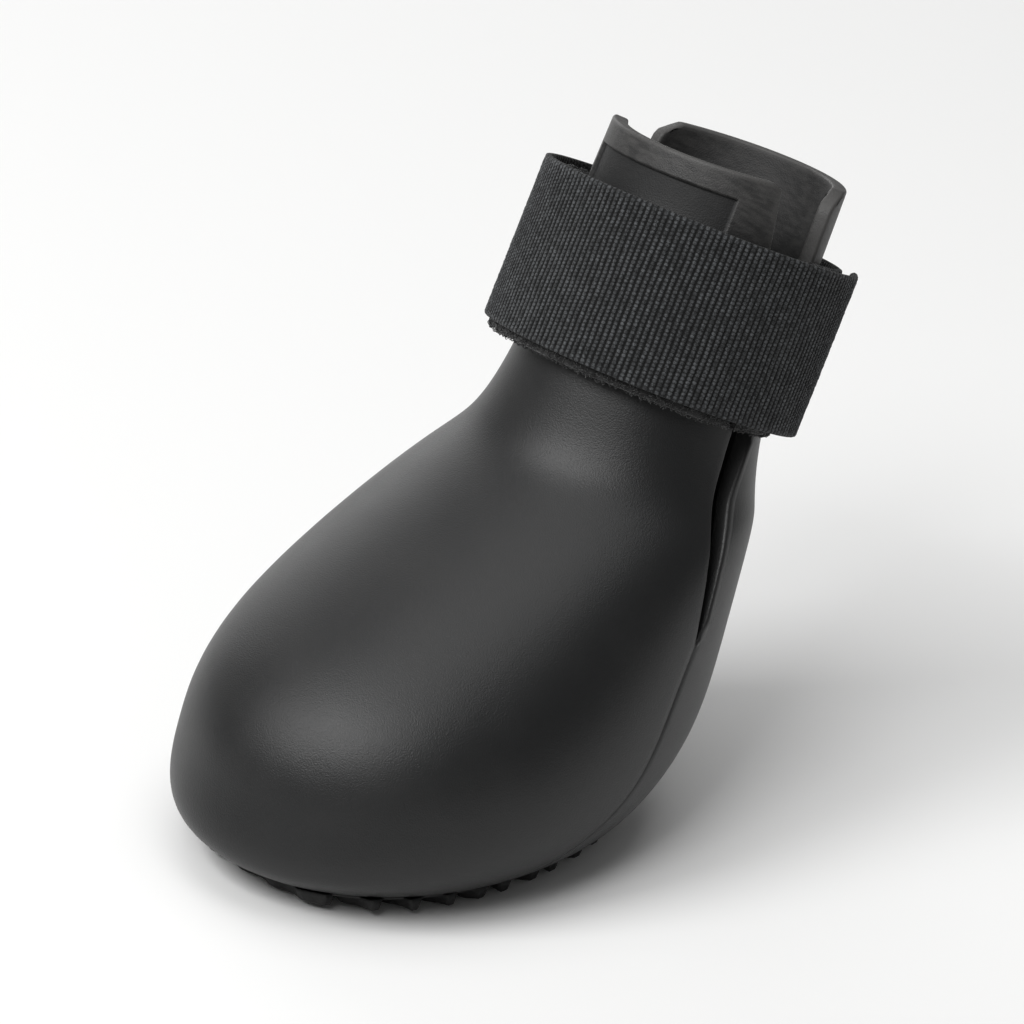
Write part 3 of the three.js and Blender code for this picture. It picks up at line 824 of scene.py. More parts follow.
@dataclass
class Upper:
    """The hollow moulded upper, with its collar flaps, slits, strap seat and parting lines."""

    last: Last
    row_step: float = 0.95
    lip: float = 0.5
    lip_width: float = 1.35
    lip_fade: float = 0.4
    seat_depth: float = 0.5
    seat_top: float = 3.8
    seat_length: float = 26.0
    seat_half_angle: float = math.radians(46)
    seat_step: float = 0.09
    parting_depth: float = 0.2
    parting_half: float = 0.3
    parting_swing: float = math.radians(32)
    parting_power: float = 2.1
    parting_share: float = 0.86
    corner_reach: float = 6.0
    loop_drop: float = 1.2
    lip_start: tuple[float, float] = (0.5, 3.0)
    lip_end: float = 1.5
    end_drop: float = 0.4
    seat_columns: int = 21
    flap_columns: int = 16
    back_columns: int = 30

    def __post_init__(self) -> None:
        """Measures the skin along its side, and finds the slits' bottom end."""
        self.fine = np.linspace(0, 1, 3000)
        side = self.last.skin(self.fine, np.full_like(self.fine, math.pi / 2))
        steps = np.linalg.norm(np.diff(side, axis=0), axis=1)
        self.length = np.concatenate([[0], np.cumsum(steps)])
        lower = self.fine[(self.fine > 0.2) & (self.fine < 0.7)]
        turn = (self.last.edge_turn(lower, Edge.FRONT) + self.last.edge_turn(lower, Edge.REAR)) / 2
        rise, _ = self.last.side_view(lower, turn)
        self.end = float(np.interp(0.0, rise, lower))

    def rows(self) -> np.ndarray:
        """How far up the side each row lies: even steps between the slits' end and the seat's edges."""
        last = self.last
        seat = [last.level_below_collar(self.seat_top + way) for way in (self.seat_length, 0.0)]
        seat = np.interp(seat, self.fine, self.length)
        knots = [0.0, float(np.interp(self.end, self.fine, self.length))]
        for place in seat:
            knots += [place + way * self.seat_step for way in (-4, -1, 1, 4)]
        knots.append(self.length[-1])
        rows = [0.0]
        for start, stop in zip(knots, knots[1:]):
            count = max(1, round((stop - start) / self.row_step))
            rows += list(start + (stop - start) * np.arange(1, count + 1) / count)
        return np.array(rows)

    def level(self, rows: np.ndarray, drop: np.ndarray | float = 0.0) -> np.ndarray:
        """The rows' levels, pressed down near the collar where a corner drops."""
        share = np.clip(1 - (self.length[-1] - rows) / self.corner_reach, 0, 1)
        return np.interp(rows - share * drop, self.length, self.fine)

    def lattice(self) -> tuple[np.ndarray, np.ndarray, dict[str, int]]:
        """Lays the lattice over the left side.

        Returns:
            Levels and angles, row by column, and the numbers of the columns that follow a feature.
        """
        last = self.last
        rows = self.rows()
        corner = last.corner * (1 - math.sqrt(0.5))
        levels = self.level(rows, corner)
        front = last.edge_turn(levels, Edge.FRONT)
        rear = last.edge_turn(levels, Edge.REAR)
        nudge = 0.01
        pace = last.skin(levels, rear + nudge) - last.skin(levels, rear - nudge)
        pace = np.linalg.norm(pace, axis=1) / (2 * nudge)
        at_end = int(np.argmin(np.abs(self.level(rows) - self.end)))
        middle = (front[at_end] + rear[at_end]) / 2
        half = (rear[at_end] - front[at_end]) / 2 * pace[at_end]
        swing = middle - self.parting_swing * np.clip(1 - levels / self.end, 0, 1) ** self.parting_power
        widths = (self.parting_half, self.parting_half, half)
        narrow = np.interp(levels, (0, self.end * self.parting_share, self.end), widths)
        below = np.arange(len(rows)) < at_end
        front = np.where(below, swing - narrow / pace, front)
        rear = np.where(below, swing + narrow / pace, rear)
        zero = np.zeros_like(levels)
        step = zero + self.seat_step / (last.shaft_width / 2)
        seat = zero + self.seat_half_angle
        stops = [
            (zero, 0),
            (seat - step * 4, self.seat_columns),
            (seat - step, 1),
            (seat + step, 1),
            (seat + step * 4, 1),
            (front - last.corner / pace, self.flap_columns),
            (front - self.lip_width / pace, 2),
            (front, 1),
            (rear, 2),
            (rear + self.lip_width / pace, 1),
            (rear + (self.lip_width + self.lip_fade) / pace, 1),
            (rear + last.corner / pace, 2),
            (zero + math.pi, self.back_columns),
        ]
        columns = [zero]
        marks = []
        for (start, _), (stop, count) in zip(stops, stops[1:]):
            columns += [start + (stop - start) * k / count for k in range(1, count + 1)]
            marks.append(len(columns) - 1)
        names = ["seat_near", "seat_in", "seat_out", "seat_far", "corner", "front_near", "front"]
        names += ["rear", "lip", "lip_out", "rear_corner", "back"]
        marks = dict(zip(names, marks))
        marks["end"] = at_end
        turns = np.stack(columns, 1)
        away = np.where(turns[-1] <= front[-1], front[-1] - turns[-1], turns[-1] - rear[-1]) * pace[-1]
        away = np.clip(away + corner, corner, last.corner)
        drop = last.corner - np.sqrt(last.corner**2 - (last.corner - away) ** 2)
        levels = self.level(rows[:, None], drop[None, :])
        length = self.length[np.searchsorted(self.fine, self.end)]
        levels[at_end, marks["front"] + 1] -= self.end_drop * self.end / length
        return levels, turns, marks

    def relief(self, levels: np.ndarray, turns: np.ndarray, marks: dict[str, int]) -> np.ndarray:
        """How far each lattice point stands off the plain skin: the lip, the seat and the parting line."""
        last = self.last
        height = np.zeros_like(turns)
        rise, _ = last.side_view(levels, turns)
        top = last.slit_bottom - last.strap_width / 2 - self.loop_drop - self.lip_width
        on_lip = smooth(rise, *self.lip_start) * (1 - smooth(rise, top, top + self.lip_end))
        lip = slice(marks["rear"], marks["lip"] + 1)
        height[:, lip] += self.lip * on_lip[:, lip]
        low = last.level_below_collar(self.seat_top + self.seat_length)
        high = last.level_below_collar(self.seat_top)
        seat = slice(0, marks["seat_in"] + 1)
        height[:, seat] -= self.seat_depth * ((levels[:, seat] > low) & (levels[:, seat] < high))
        height[: marks["end"], marks["front"] + 1] -= self.parting_depth
        return height

    def build(self) -> bpy.types.Object:
        """Builds the wall from a lattice that follows the slits and the flaps' corners."""
        last = self.last
        levels, turns, marks = self.lattice()
        height = self.relief(levels, turns, marks)
        normals = last.normal(np.clip(levels, 0.002, 0.998), turns)
        points = last.skin(levels, turns) + normals * height[..., None]
        flip = np.array([-1, 1, 1])

        def ring(left: np.ndarray, mirror: np.ndarray | float) -> np.ndarray:
            """The left side's values followed by the right side's."""
            return np.concatenate([left, left[:, -2:0:-1] * mirror], axis=1)

        points, normals, thickness = ring(points, flip), ring(normals, flip), ring(last.wall + height, 1)
        rows, columns = thickness.shape
        gaps = set(range(marks["front"], marks["rear"]))
        gaps |= {columns - 1 - column for column in gaps}
        faces = []
        for i in range(rows - 1):
            for j in range(columns):
                if i >= marks["end"] and j in gaps:
                    continue
                a, b = i * columns + j, i * columns + (j + 1) % columns
                faces.append((a, b, b + columns, a + columns))
        seat = ring((height < -self.seat_depth / 2).astype(float), 1).ravel()
        points, normals = points.reshape(-1, 3), normals.reshape(-1, 3)
        return Wall(points, normals, thickness.ravel(), np.array(faces), seat).build("upper_shell")


def smooth(value: np.ndarray, low: float, high: float) -> np.ndarray:
    """A smooth step from 0 at low to 1 at high."""
    share = np.clip((value - low) / (high - low), 0, 1)
    return share * share * (3 - 2 * share)


@dataclass
class Outsole:
    """The rimmed plate under the upper, its cross ribs and its paw relief."""

    last: Last
    plug: float = 1.3
    columns: int = 160
    root: float = 2.0
    fullness: float = 2.35
    plate_fullness: float = 2.12
    rib_pitch: float = 4.85
    rib_foot: float = 3.9
    rib_tip: float = 3.0
    rib_inset: float = 0.1
    rib_wave: float = 0.45
    rib_step: float = 3.1
    rib_samples: int = 89
    rib_sides: int = 13
    paw_width: float = 21.0
    paw_length: float = 22.0
    paw_back: float = 1.6
    roughness: float = 0.16
    rib_margin: float = 0.5
    end_taper: float = 0.5
    end_narrow: float = 2.4
    toe_half: tuple[float, float] = (1.6, 2.3)
    main_half: tuple[float, float] = (6.6, 4.5)
    toes: tuple[tuple[float, float, float], ...] = (
        (0.76, 0.3, -12.0),
        (0.31, 0.75, -4.0),
        (-0.31, 0.75, 4.0),
        (-0.76, 0.3, 12.0),
    )
    pad_rings: tuple[tuple[float, float], ...] = (
        (1.0, 0.6),
        (0.99, 0.36),
        (0.96, 0.16),
        (0.91, 0.04),
        (0.85, 0.0),
    )
    plate_shares: tuple[float, ...] = (0.4, 0.8, 0.86, 0.92, 0.96)
    plate_edge: tuple[tuple[float, float], ...] = ((0.25, 0.0), (0.07, 0.09), (0.0, 0.3))

    def ribs(self, material: bpy.types.Material) -> bpy.types.Object:
        """Lays the knuckled ribs across the tread, sunk into the plate round the paw."""
        last = self.last
        half = math.floor((last.tread_length / 2 - self.rib_foot / 2 - self.rib_margin) / self.rib_pitch)
        recipe = Recipe(
            "ribs",
            {
                "Ribs": 2 * half + 1,
                "Pitch": self.rib_pitch * MM,
                "Tread Length": last.tread_length * MM,
                "Tread Width": last.tread_width * MM,
                "Root": self.root * MM,
                "Foot": self.rib_foot * MM,
                "Tip": self.rib_tip * MM,
                "Wave": self.rib_wave * MM,
                "Knuckle": self.rib_step * MM,
                "Roughness": self.roughness * MM,
                "Rim Lift": last.rim_lift * MM,
                "Spring": last.spring * MM,
                "Material": material,
            },
        )
        graph = recipe.graph
        size = {"Size X": 2.0, "Size Y": 2.0, "Vertices X": self.rib_samples, "Vertices Y": self.rib_sides}
        hump = recipe.store(recipe.do("GeometryNodeMeshGrid", size), "hump", 1.0)
        root = recipe.store(recipe.do("GeometryNodeMeshGrid", size), "hump", 0.0)
        hump = recipe.do("GeometryNodeFlipFaces", {"Mesh": hump})
        join = graph.add("GeometryNodeJoinGeometry")
        for sheet in (root, hump):
            recipe.tree.links.new(sheet.socket, join.inputs[0])
        place = recipe.position()
        sheet = recipe.store(graph.wire(join), "along", place.axis(0))
        sheet = recipe.store(sheet, "across", place.axis(1))
        middle = graph.vector(0.0, 0.0, 0.0)
        sheet = recipe.do("GeometryNodeSetPosition", {"Geometry": sheet, "Position": middle})
        pitch = recipe.input("Pitch")
        line = {
            "Count": recipe.input("Ribs"),
            "Start Location": graph.vector(0.0, pitch * (-half), 0.0),
            "Offset": graph.vector(0.0, pitch, 0.0),
        }
        points = recipe.do("GeometryNodeMeshLine", line)
        ribs = recipe.do("GeometryNodeInstanceOnPoints", {"Points": points, "Instance": sheet})
        ribs = recipe.do("GeometryNodeRealizeInstances", {"Geometry": ribs})
        along, across, hump = recipe.stored("along"), recipe.stored("across"), recipe.stored("hump")
        y = place.axis(1)
        number = (y / pitch).math("ROUND")
        chord = 1 - (y * 2 / recipe.input("Tread Length")).math("ABSOLUTE") ** self.fullness
        reach = chord ** (1 / self.fullness) * recipe.input("Tread Width") / 2 - self.rib_inset * MM
        x = along * reach
        beat = x / recipe.input("Knuckle") + number
        swing = (beat * math.pi).math("COSINE")
        knuckle = (beat * 2 * math.pi).math("COSINE")
        end = reach - along.math("ABSOLUTE") * reach
        taper = end.step(0.0, self.end_taper * MM)
        tip = across.math("ABSOLUTE").step(0.6, 1.0)
        width = tip * (recipe.input("Foot") - recipe.input("Tip")) + recipe.input("Tip")
        width = width * (knuckle * 0.07 + 0.97) * (end.step(0.0, self.end_narrow * MM) * 0.35 + 0.65)
        rough = graph.noise(graph.vector(x, y + across * width, hump * 0.003), 900.0, 3.0) - 0.5
        body = hump * (1 - tip) * taper
        shift = rough * recipe.input("Roughness") * body * 2
        y_new = y + swing * recipe.input("Wave") + across * width / 2 + shift
        share_x = x * 2 / recipe.input("Tread Width")
        share_y = y_new * 2 / recipe.input("Tread Length")
        share = (share_x * share_x + share_y * share_y).math("SQRT")
        past = ((share - last.flat_share) / (1 - last.flat_share)).math("MAXIMUM", 0.0)
        ahead = (share_y / share.math("MAXIMUM", 0.01)).math("ABSOLUTE").math("POWER", 3.0)
        lift = past * past * (recipe.input("Rim Lift") + ahead * recipe.input("Spring"))
        paw_x = x * 2 / (self.paw_width * MM)
        paw_y = (y_new + self.paw_back * MM) * 2 / (self.paw_length * MM)
        paw = (paw_x * paw_x + paw_y * paw_y).math("SQRT").step(0.96, 1.07).math("MAXIMUM", 0.04)
        height = body * paw
        dip = rough.math("ABSOLUTE") * recipe.input("Roughness") * height * 0.5
        spot = graph.vector(x, y_new, lift + (1 - height) * recipe.input("Root") + dip)
        ribs = recipe.do("GeometryNodeSetPosition", {"Geometry": ribs, "Position": spot})
        ribs = recipe.do("GeometryNodeMergeByDistance", {"Geometry": ribs, "Distance": 2e-6})
        return recipe.run(mesh_object("outsole_ribs", np.zeros((0, 3)), []), ribs)

    def pads(self) -> list[bpy.types.Object]:
        """Makes the paw's soft-edged pads."""
        angle = np.linspace(0, 2 * math.pi, 40, endpoint=False)
        oval = np.stack([np.sin(angle), np.cos(angle)], 1) * self.toe_half
        pads = []
        for k, (side, ahead, turn) in enumerate(self.toes):
            c, s = math.cos(math.radians(turn)), math.sin(math.radians(turn))
            centre = (side * self.paw_width / 2, -ahead * self.paw_length / 2 - self.paw_back)
            pads.append(self._pad(f"paw_toe_{k + 1}", oval @ np.array([[c, s], [-s, c]]) + centre))
        pads.append(self._pad("paw_main", self._main_outline()))
        return pads

    def _main_outline(self) -> np.ndarray:
        """The main pad's outline: round towards the toe, hollowed a little towards the heel."""
        wide, deep = self.main_half
        curves = [
            [(0, -1), (0.7, -1), (0.75, -0.1), (0.98, 0.35)],
            [(0.98, 0.35), (1.1, 1.15), (0.45, 1.15), (0, 0.75)],
        ]
        t = np.linspace(0, 1, 15, endpoint=False)[:, None]
        side = []
        for a, b, c, d in np.array(curves) * (wide, deep):
            side.append(a * (1 - t) ** 3 + 3 * b * (1 - t) ** 2 * t + 3 * c * (1 - t) * t**2 + d * t**3)
        side = np.concatenate([*side, [[0, deep * 0.75]]])
        whole = np.concatenate([side, side[-2:0:-1] * (-1, 1)])
        return whole[::-1] + (0, self.paw_back)

    def _pad(self, name: str, outline: np.ndarray) -> bpy.types.Object:
        """Makes one pad from its outline, from its root in the plate to its flat face on the floor."""
        centre = outline.mean(0)
        rings = []
        for share, z in ((1.0, self.root), *self.pad_rings):
            ring = centre + (outline - centre) * share
            rings.append(np.column_stack([ring, np.full(len(outline), z)]))
        return capped_rings(name, rings, [[*centre, self.root], [*centre, 0.0]])

    def plate(self) -> bpy.types.Object:
        """Builds the plate as rings from the middle of its underside to the middle of its top."""
        last = self.last
        u = np.linspace(0, 2 * math.pi, self.columns, endpoint=False)

        def outline(share: float, z: np.ndarray | float, shrink: float = 0.0) -> np.ndarray:
            """A ring of the tread's outline at a share of its size."""
            wide = last.tread_width / 2 * share - shrink
            deep = last.tread_length / 2 * share - shrink
            power = self.plate_fullness
            full = (np.abs(np.sin(u)) ** power + np.abs(np.cos(u)) ** power) ** (-1 / power)
            x, y = np.sin(u) * wide * full, -np.cos(u) * deep * full
            return np.stack([x, y, np.broadcast_to(z, u.shape)], 1)

        lift = last.tread_lift(np.array(1.0), u) + last.rib_depth
        rim = last.rim_z(u)
        inner = last.skin(np.zeros_like(u), u)
        level = last.normal(np.full_like(u, 0.002), u) * np.array([1, 1, 0])
        inner = inner - level * (last.wall + last.gap) / np.linalg.norm(level, axis=1, keepdims=True)
        rings = []
        for share in self.plate_shares:
            rings.append(outline(share, last.rib_depth + last.tread_lift(np.array(share), u)))
        for shrink, drop in self.plate_edge:
            rings.append(outline(1.0, lift + drop, shrink))
        for shrink, drop in reversed(self.plate_edge):
            rings.append(outline(1.0, rim - drop, shrink))
        rings.append(np.column_stack([inner[:, :2], rim]))
        rings.append(np.column_stack([inner[:, :2], rim + self.plug]))
        ends = [[0, 0, last.rib_depth], [0, 0, last.sole_rim + self.plug]]
        return capped_rings("outsole_plate", rings, ends)


@dataclass
class Strap:
    """The wrapped strap: a loop-pile band, the woven band over it and a hook patch under the free end."""

    last: Last
    rest: float = 0.8
    slack: float = 3.6
    pile_thick: float = 1.0
    web_thick: float = 1.0
    hook_thick: float = 0.5
    drop: float = 1.2
    pile_turns: tuple[float, float] = (84.0, 434.0)
    web_turns: tuple[float, float] = (87.0, 498.0)
    hook_turns: tuple[float, float] = (92.0, 128.0)
    hook_share: float = 0.84
    rib_pitch: float = 0.89
    bead_pitch: float = 0.58
    bead_samples: int = 2
    relief: float = 0.24
    selvage: float = 0.9
    ragged: float = 0.8
    fray: tuple[float, float, float] = (0.45, 0.3, 0.1)
    matting: float = 0.1
    loop_density: float = 4.6e6
    loop_radius: float = 0.34
    loop_thread: float = 0.055
    loop_edge: float = 1.2
    hook_density: float = 1.1e6
    hook_radius: float = 0.16
    hook_thread: float = 0.05
    route_table: tuple[tuple[float, float, float], ...] = (
        (84, 0, 0),
        (130, 0, 0),
        (180, 0.08, 0),
        (225, 0.45, 0),
        (270, 0.8, 0),
        (315, 0.95, 0),
        (360, 0.93, 0),
        (405, 0.85, 0),
        (440, 0.1, 1),
        (498, 0.1, 1),
    )

    def stand(self, turn: np.ndarray) -> np.ndarray:
        """How far the strap's inner face stands off the shaft at each turn, in degrees."""
        turns, slack, lap = np.array(self.route_table).T
        i = np.clip(np.searchsorted(turns, turn, side="right") - 1, 0, len(turns) - 2)
        share = smooth(turn, turns[i], turns[i + 1])
        slack = slack[i] + (slack[i + 1] - slack[i]) * share
        lap = lap[i] + (lap[i + 1] - lap[i]) * share
        over = self.web_thick + self.hook_thick + 2 * self.last.gap
        return self.rest + self.slack * slack + over * lap

    def route(self, name: str, turns: tuple[float, float], out: float) -> tuple[bpy.types.Object, float]:
        """A band's middle line in the shaft's own frame, where Z runs up the shaft.

        Args:
            name: the object's name.
            turns: the band's first and last turns.
            out: how far its middle lies off the strap's inner face.

        Returns:
            The line as edges, and its length.
        """
        turn = np.linspace(*turns, 600)
        u = np.radians(turn)
        reach = self.stand(turn) + out
        across = np.sin(u) * (self.last.shaft_width / 2 + reach)
        behind = -np.cos(u) * (self.last.shaft_depth / 2 + reach)
        points = np.stack([across, behind, np.zeros_like(u)], 1)
        return polyline(name, points), float(np.linalg.norm(np.diff(points, axis=0), axis=1).sum())

    def profile(self, name: str, half: float, thick: float, steps: int) -> bpy.types.Object:
        """A band's closed cross-section: X points out of the ring, and Y down the shaft."""
        r = thick / 2
        angles = np.linspace(0, math.pi, 6)[1:-1]
        low = [(r * math.cos(a), half - r + r * math.sin(a)) for a in angles]
        high = [(-x, -y) for x, y in low]
        outer = [(r, y) for y in np.linspace(r - half, half - r, steps + 1)]
        inner = [(-r, y) for y in np.linspace(half - r, r - half, 6)]
        points = np.array([*outer, *low, *inner, *high])
        return polyline(name, np.column_stack([points, np.zeros(len(points))]), closed=True)

    def sweep(self, recipe: Recipe) -> Wire:
        """Sweeps the profile along the route, keeping the run along it, the height and the outer side."""
        graph = recipe.graph
        curve = recipe.do("GeometryNodeMeshToCurve", {"Mesh": recipe.input()})
        curve = recipe.do("GeometryNodeResampleCurve", {"Curve": curve, "Count": recipe.input("Samples")})
        curve = recipe.do("GeometryNodeSetCurveNormal", {"Curve": curve}, {"mode": "Z_UP"})
        curve = recipe.store(curve, "run", graph.wire(graph.add("GeometryNodeSplineParameter")))
        shape = graph.add("GeometryNodeObjectInfo", None, {"Object": recipe.input("Profile")})
        shape = recipe.do("GeometryNodeMeshToCurve", {"Mesh": graph.wire(shape, "Geometry")})
        side = recipe.position()
        shape = recipe.store(shape, "outer", side.axis(0))
        shape = recipe.store(shape, "height", side.axis(1) * -1)
        band = {"Curve": curve, "Profile Curve": shape, "Fill Caps": True}
        return recipe.do("GeometryNodeCurveToMesh", band)

    def tilt(self, recipe: Recipe, geometry: Wire, drop: float = 0.0) -> Wire:
        """Moves a piece from the shaft's own frame to its place."""
        last = self.last
        centre = (last.middle - last.along * drop) * MM
        values = {"Geometry": geometry, "Translation": tuple(centre), "Rotation": (-last.lean, 0.0, 0.0)}
        return recipe.do("GeometryNodeTransform", values)

    def web(self, material: bpy.types.Material) -> bpy.types.Object:
        """Weaves the outer band: ribs across it, with staggered beads and corded edges."""
        out = self.pile_thick + self.last.gap + self.web_thick / 2
        route, length = self.route("strap_web_cloth", self.web_turns, out)
        ribs = round(length / self.rib_pitch)
        half = self.last.strap_width / 2
        steps = round((2 * half - self.web_thick) / self.bead_pitch * self.bead_samples)
        inputs = {
            "Profile": self.profile("web_profile", half, self.web_thick - 0.1, steps),
            "Samples": ribs * 4 + 1,
            "Ribs": float(ribs),
            "Bead": self.bead_pitch * MM,
            "Relief": self.relief * MM,
            "Selvage": (half - self.selvage) * MM,
            "Material": material,
        }
        recipe = Recipe("weave", inputs)
        band = self.sweep(recipe)
        graph = recipe.graph
        place = recipe.position()
        run, height, outer = recipe.stored("run"), recipe.stored("height"), recipe.stored("outer")
        count = run * recipe.input("Ribs") + (graph.noise(place, 130.0, 2.0) - 0.5) * 0.5
        row = height / recipe.input("Bead") + (graph.noise(place, 400.0, 2.0) - 0.5) * 0.4
        weave = count.hump() * ((row + count.math("FLOOR") * 0.5).hump() * 0.6 + 0.4)
        edge = height.math("ABSOLUTE").step(recipe.input("Selvage"), recipe.input("Selvage") + 0.3 * MM)
        hem = (count * 1.5).hump() * 0.4 + 0.4
        uneven = graph.noise(place, 1300.0, 2.0).step(0.25, 0.75) * 0.5 + 0.7
        face = outer.step(0.1 * MM, 0.35 * MM)
        relief = (weave + (hem - weave) * edge) * uneven * face
        for name, value in (("cords", count), ("beads", row), ("face", face), ("hem", edge * face)):
            band = recipe.store(band, name, value)
        normal = graph.wire(graph.add("GeometryNodeInputNormal"))
        lift = (relief - 0.3 * face) * recipe.input("Relief")
        band = recipe.do("GeometryNodeSetPosition", {"Geometry": band, "Offset": normal.scaled(lift)})
        frayed = run.step(0.9905, 0.9995) * height.step(0.5 * half * MM, half * MM)
        rag = graph.noise(graph.vector(height, outer, 0.01), 1100.0, 3.0, 1) - 0.5
        ragged = run.step(0.994, 0.9999)
        pull = graph.vector(*(frayed * share * MM for share in self.fray))
        spread = rag.scaled(ragged * self.ragged * MM).vector_math("ADD", pull)
        band = recipe.do("GeometryNodeSetPosition", {"Geometry": band, "Offset": spread})
        return recipe.run(route, self.tilt(recipe, band))

    def plain_band(
        self,
        name: str,
        turns: tuple[float, float],
        out: float,
        half: float,
        thick: float,
        drop: float,
        material: bpy.types.Material,
    ) -> bpy.types.Object:
        """Sweeps a band with an uneven matted surface.

        Args:
            name: the object's name.
            turns: its first and last turns.
            out: how far its inner face lies off the strap's inner face.
            half: half its height.
            thick: its thickness.
            drop: how far it hangs below the strap's middle.
            material: its finish.

        Returns:
            The band.
        """
        route, length = self.route(name, turns, out + thick / 2)
        inputs = {
            "Profile": self.profile(name + "_profile", half, thick - 0.12, 24),
            "Samples": round(length / 0.8),
            "Matting": self.matting * MM,
            "Material": material,
        }
        recipe = Recipe(name, inputs)
        band = self.sweep(recipe)
        graph = recipe.graph
        normal = graph.wire(graph.add("GeometryNodeInputNormal"))
        rough = graph.noise(recipe.position(), 900.0, 3.0) - 0.5
        shift = normal.scaled(rough * recipe.input("Matting"))
        band = recipe.do("GeometryNodeSetPosition", {"Geometry": band, "Offset": shift})
        return recipe.run(route, self.tilt(recipe, band, drop))

    def pile(self, base: bpy.types.Object, material: bpy.types.Material, seed: int = 7) -> bpy.types.Object:
        """Grows small loops along the pile band's visible edges."""
        last = self.last
        inputs = {
            "Density": self.loop_density,
            "Low": (last.strap_width / 2 - self.loop_edge) * MM,
            "Radius": self.loop_radius * MM,
            "Thread": self.loop_thread * MM,
            "Seed": seed,
            "Material": material,
        }
        recipe = Recipe("pile", inputs)
        graph = recipe.graph
        centre = tuple((last.middle - last.along * self.drop) * MM)
        place = recipe.position().vector_math("SUBTRACT", centre)
        rise = place.vector_math("DOT_PRODUCT", tuple(last.along), output=1)
        low = recipe.input("Low")
        weight = rise.math("ABSOLUTE").step(low - self.loop_edge * MM, low)
        scatter = self._scatter(recipe, weight)
        loop = self._thread(recipe, 5, -0.5, math.pi + 1.0)
        spin = self._random(recipe, (-0.5, -0.5, -3.2), (0.5, 0.5, 3.2), 1)
        size = self._random(recipe, (0.7, 0.7, 0.6), (1.3, 1.3, 1.5), 2)
        values = {0: graph.wire(scatter, 2), 1: spin}
        turned = graph.wire(graph.add("FunctionNodeRotateRotation", {"rotation_space": "LOCAL"}, values))
        values = {"Points": graph.wire(scatter), "Instance": loop, "Rotation": turned, "Scale": size}
        loops = recipe.do("GeometryNodeInstanceOnPoints", values)
        piece = bpy.data.objects.new("strap_pile_loops", base.data.copy())
        bpy.context.scene.collection.objects.link(piece)
        return recipe.run(piece, loops)

    @staticmethod
    def _scatter(recipe: Recipe, weight: Wire) -> bpy.types.Node:
        """Scatters points over the starting mesh, as densely as a weight from 0 to 1 says."""
        density = weight * recipe.input("Density")
        values = {"Mesh": recipe.input(), "Density": density, "Seed": recipe.input("Seed")}
        settings = {"distribute_method": "RANDOM"}
        return recipe.graph.add("GeometryNodeDistributePointsOnFaces", settings, values)

    @staticmethod
    def _thread(recipe: Recipe, points: int, start: float, sweep: float) -> Wire:
        """Makes one short bent thread that stands up.

        Args:
            recipe: the recipe, whose inputs give the thread's radii.
            points: how many points its arc has.
            start: the angle at which the arc starts.
            sweep: the angle that it sweeps.

        Returns:
            Its mesh.
        """
        values = {"Resolution": points, "Radius": recipe.input("Radius")}
        values |= {"Start Angle": start, "Sweep Angle": sweep}
        arc = recipe.do("GeometryNodeCurveArc", values)
        arc = recipe.do("GeometryNodeTransform", {"Geometry": arc, "Rotation": (math.pi / 2, 0.0, 0.0)})
        values = {"Resolution": 3, "Radius": recipe.input("Thread")}
        ring = recipe.do("GeometryNodeCurvePrimitiveCircle", values)
        values = {"Curve": arc, "Profile Curve": ring, "Fill Caps": True}
        return recipe.do("GeometryNodeCurveToMesh", values)

    @staticmethod
    def _random(recipe: Recipe, low: tuple, high: tuple, seed: int) -> Wire:
        """A random vector for each point."""
        values = {0: low, 1: high, "Seed": seed}
        return recipe.do("FunctionNodeRandomValue", values, {"data_type": "FLOAT_VECTOR"})

    def hooks(self, base: bpy.types.Object, material: bpy.types.Material, seed: int = 3) -> bpy.types.Object:
        """Sets small hooks on the inner face of the hook patch."""
        inputs = {
            "Density": self.hook_density,
            "Radius": self.hook_radius * MM,
            "Thread": self.hook_thread * MM,
            "Seed": seed,
            "Material": material,
        }
        recipe = Recipe("hooks", inputs)
        graph = recipe.graph
        place = recipe.position().vector_math("SUBTRACT", tuple(self.last.middle * MM))
        flat = place.vector_math("SUBTRACT", self._along(recipe, place))
        facing = graph.wire(graph.add("GeometryNodeInputNormal")).vector_math("DOT_PRODUCT", flat, output=1)
        scatter = self._scatter(recipe, facing.math("LESS_THAN", 0.0))
        hook = self._thread(recipe, 4, -0.3, 3.6)
        values = {"Points": graph.wire(scatter), "Instance": hook, "Rotation": graph.wire(scatter, 2)}
        hooks = recipe.do("GeometryNodeInstanceOnPoints", values)
        piece = bpy.data.objects.new("strap_hooks", base.data.copy())
        bpy.context.scene.collection.objects.link(piece)
        return recipe.run(piece, hooks)

    def _along(self, recipe: Recipe, place: Wire) -> Wire:
        """The part of a place that runs up the shaft."""
        along = tuple(self.last.along)
        rise = place.vector_math("DOT_PRODUCT", along, output=1)
        part = recipe.graph.add("ShaderNodeVectorMath", {"operation": "SCALE"}, {0: along, "Scale": rise})
        return recipe.graph.wire(part)


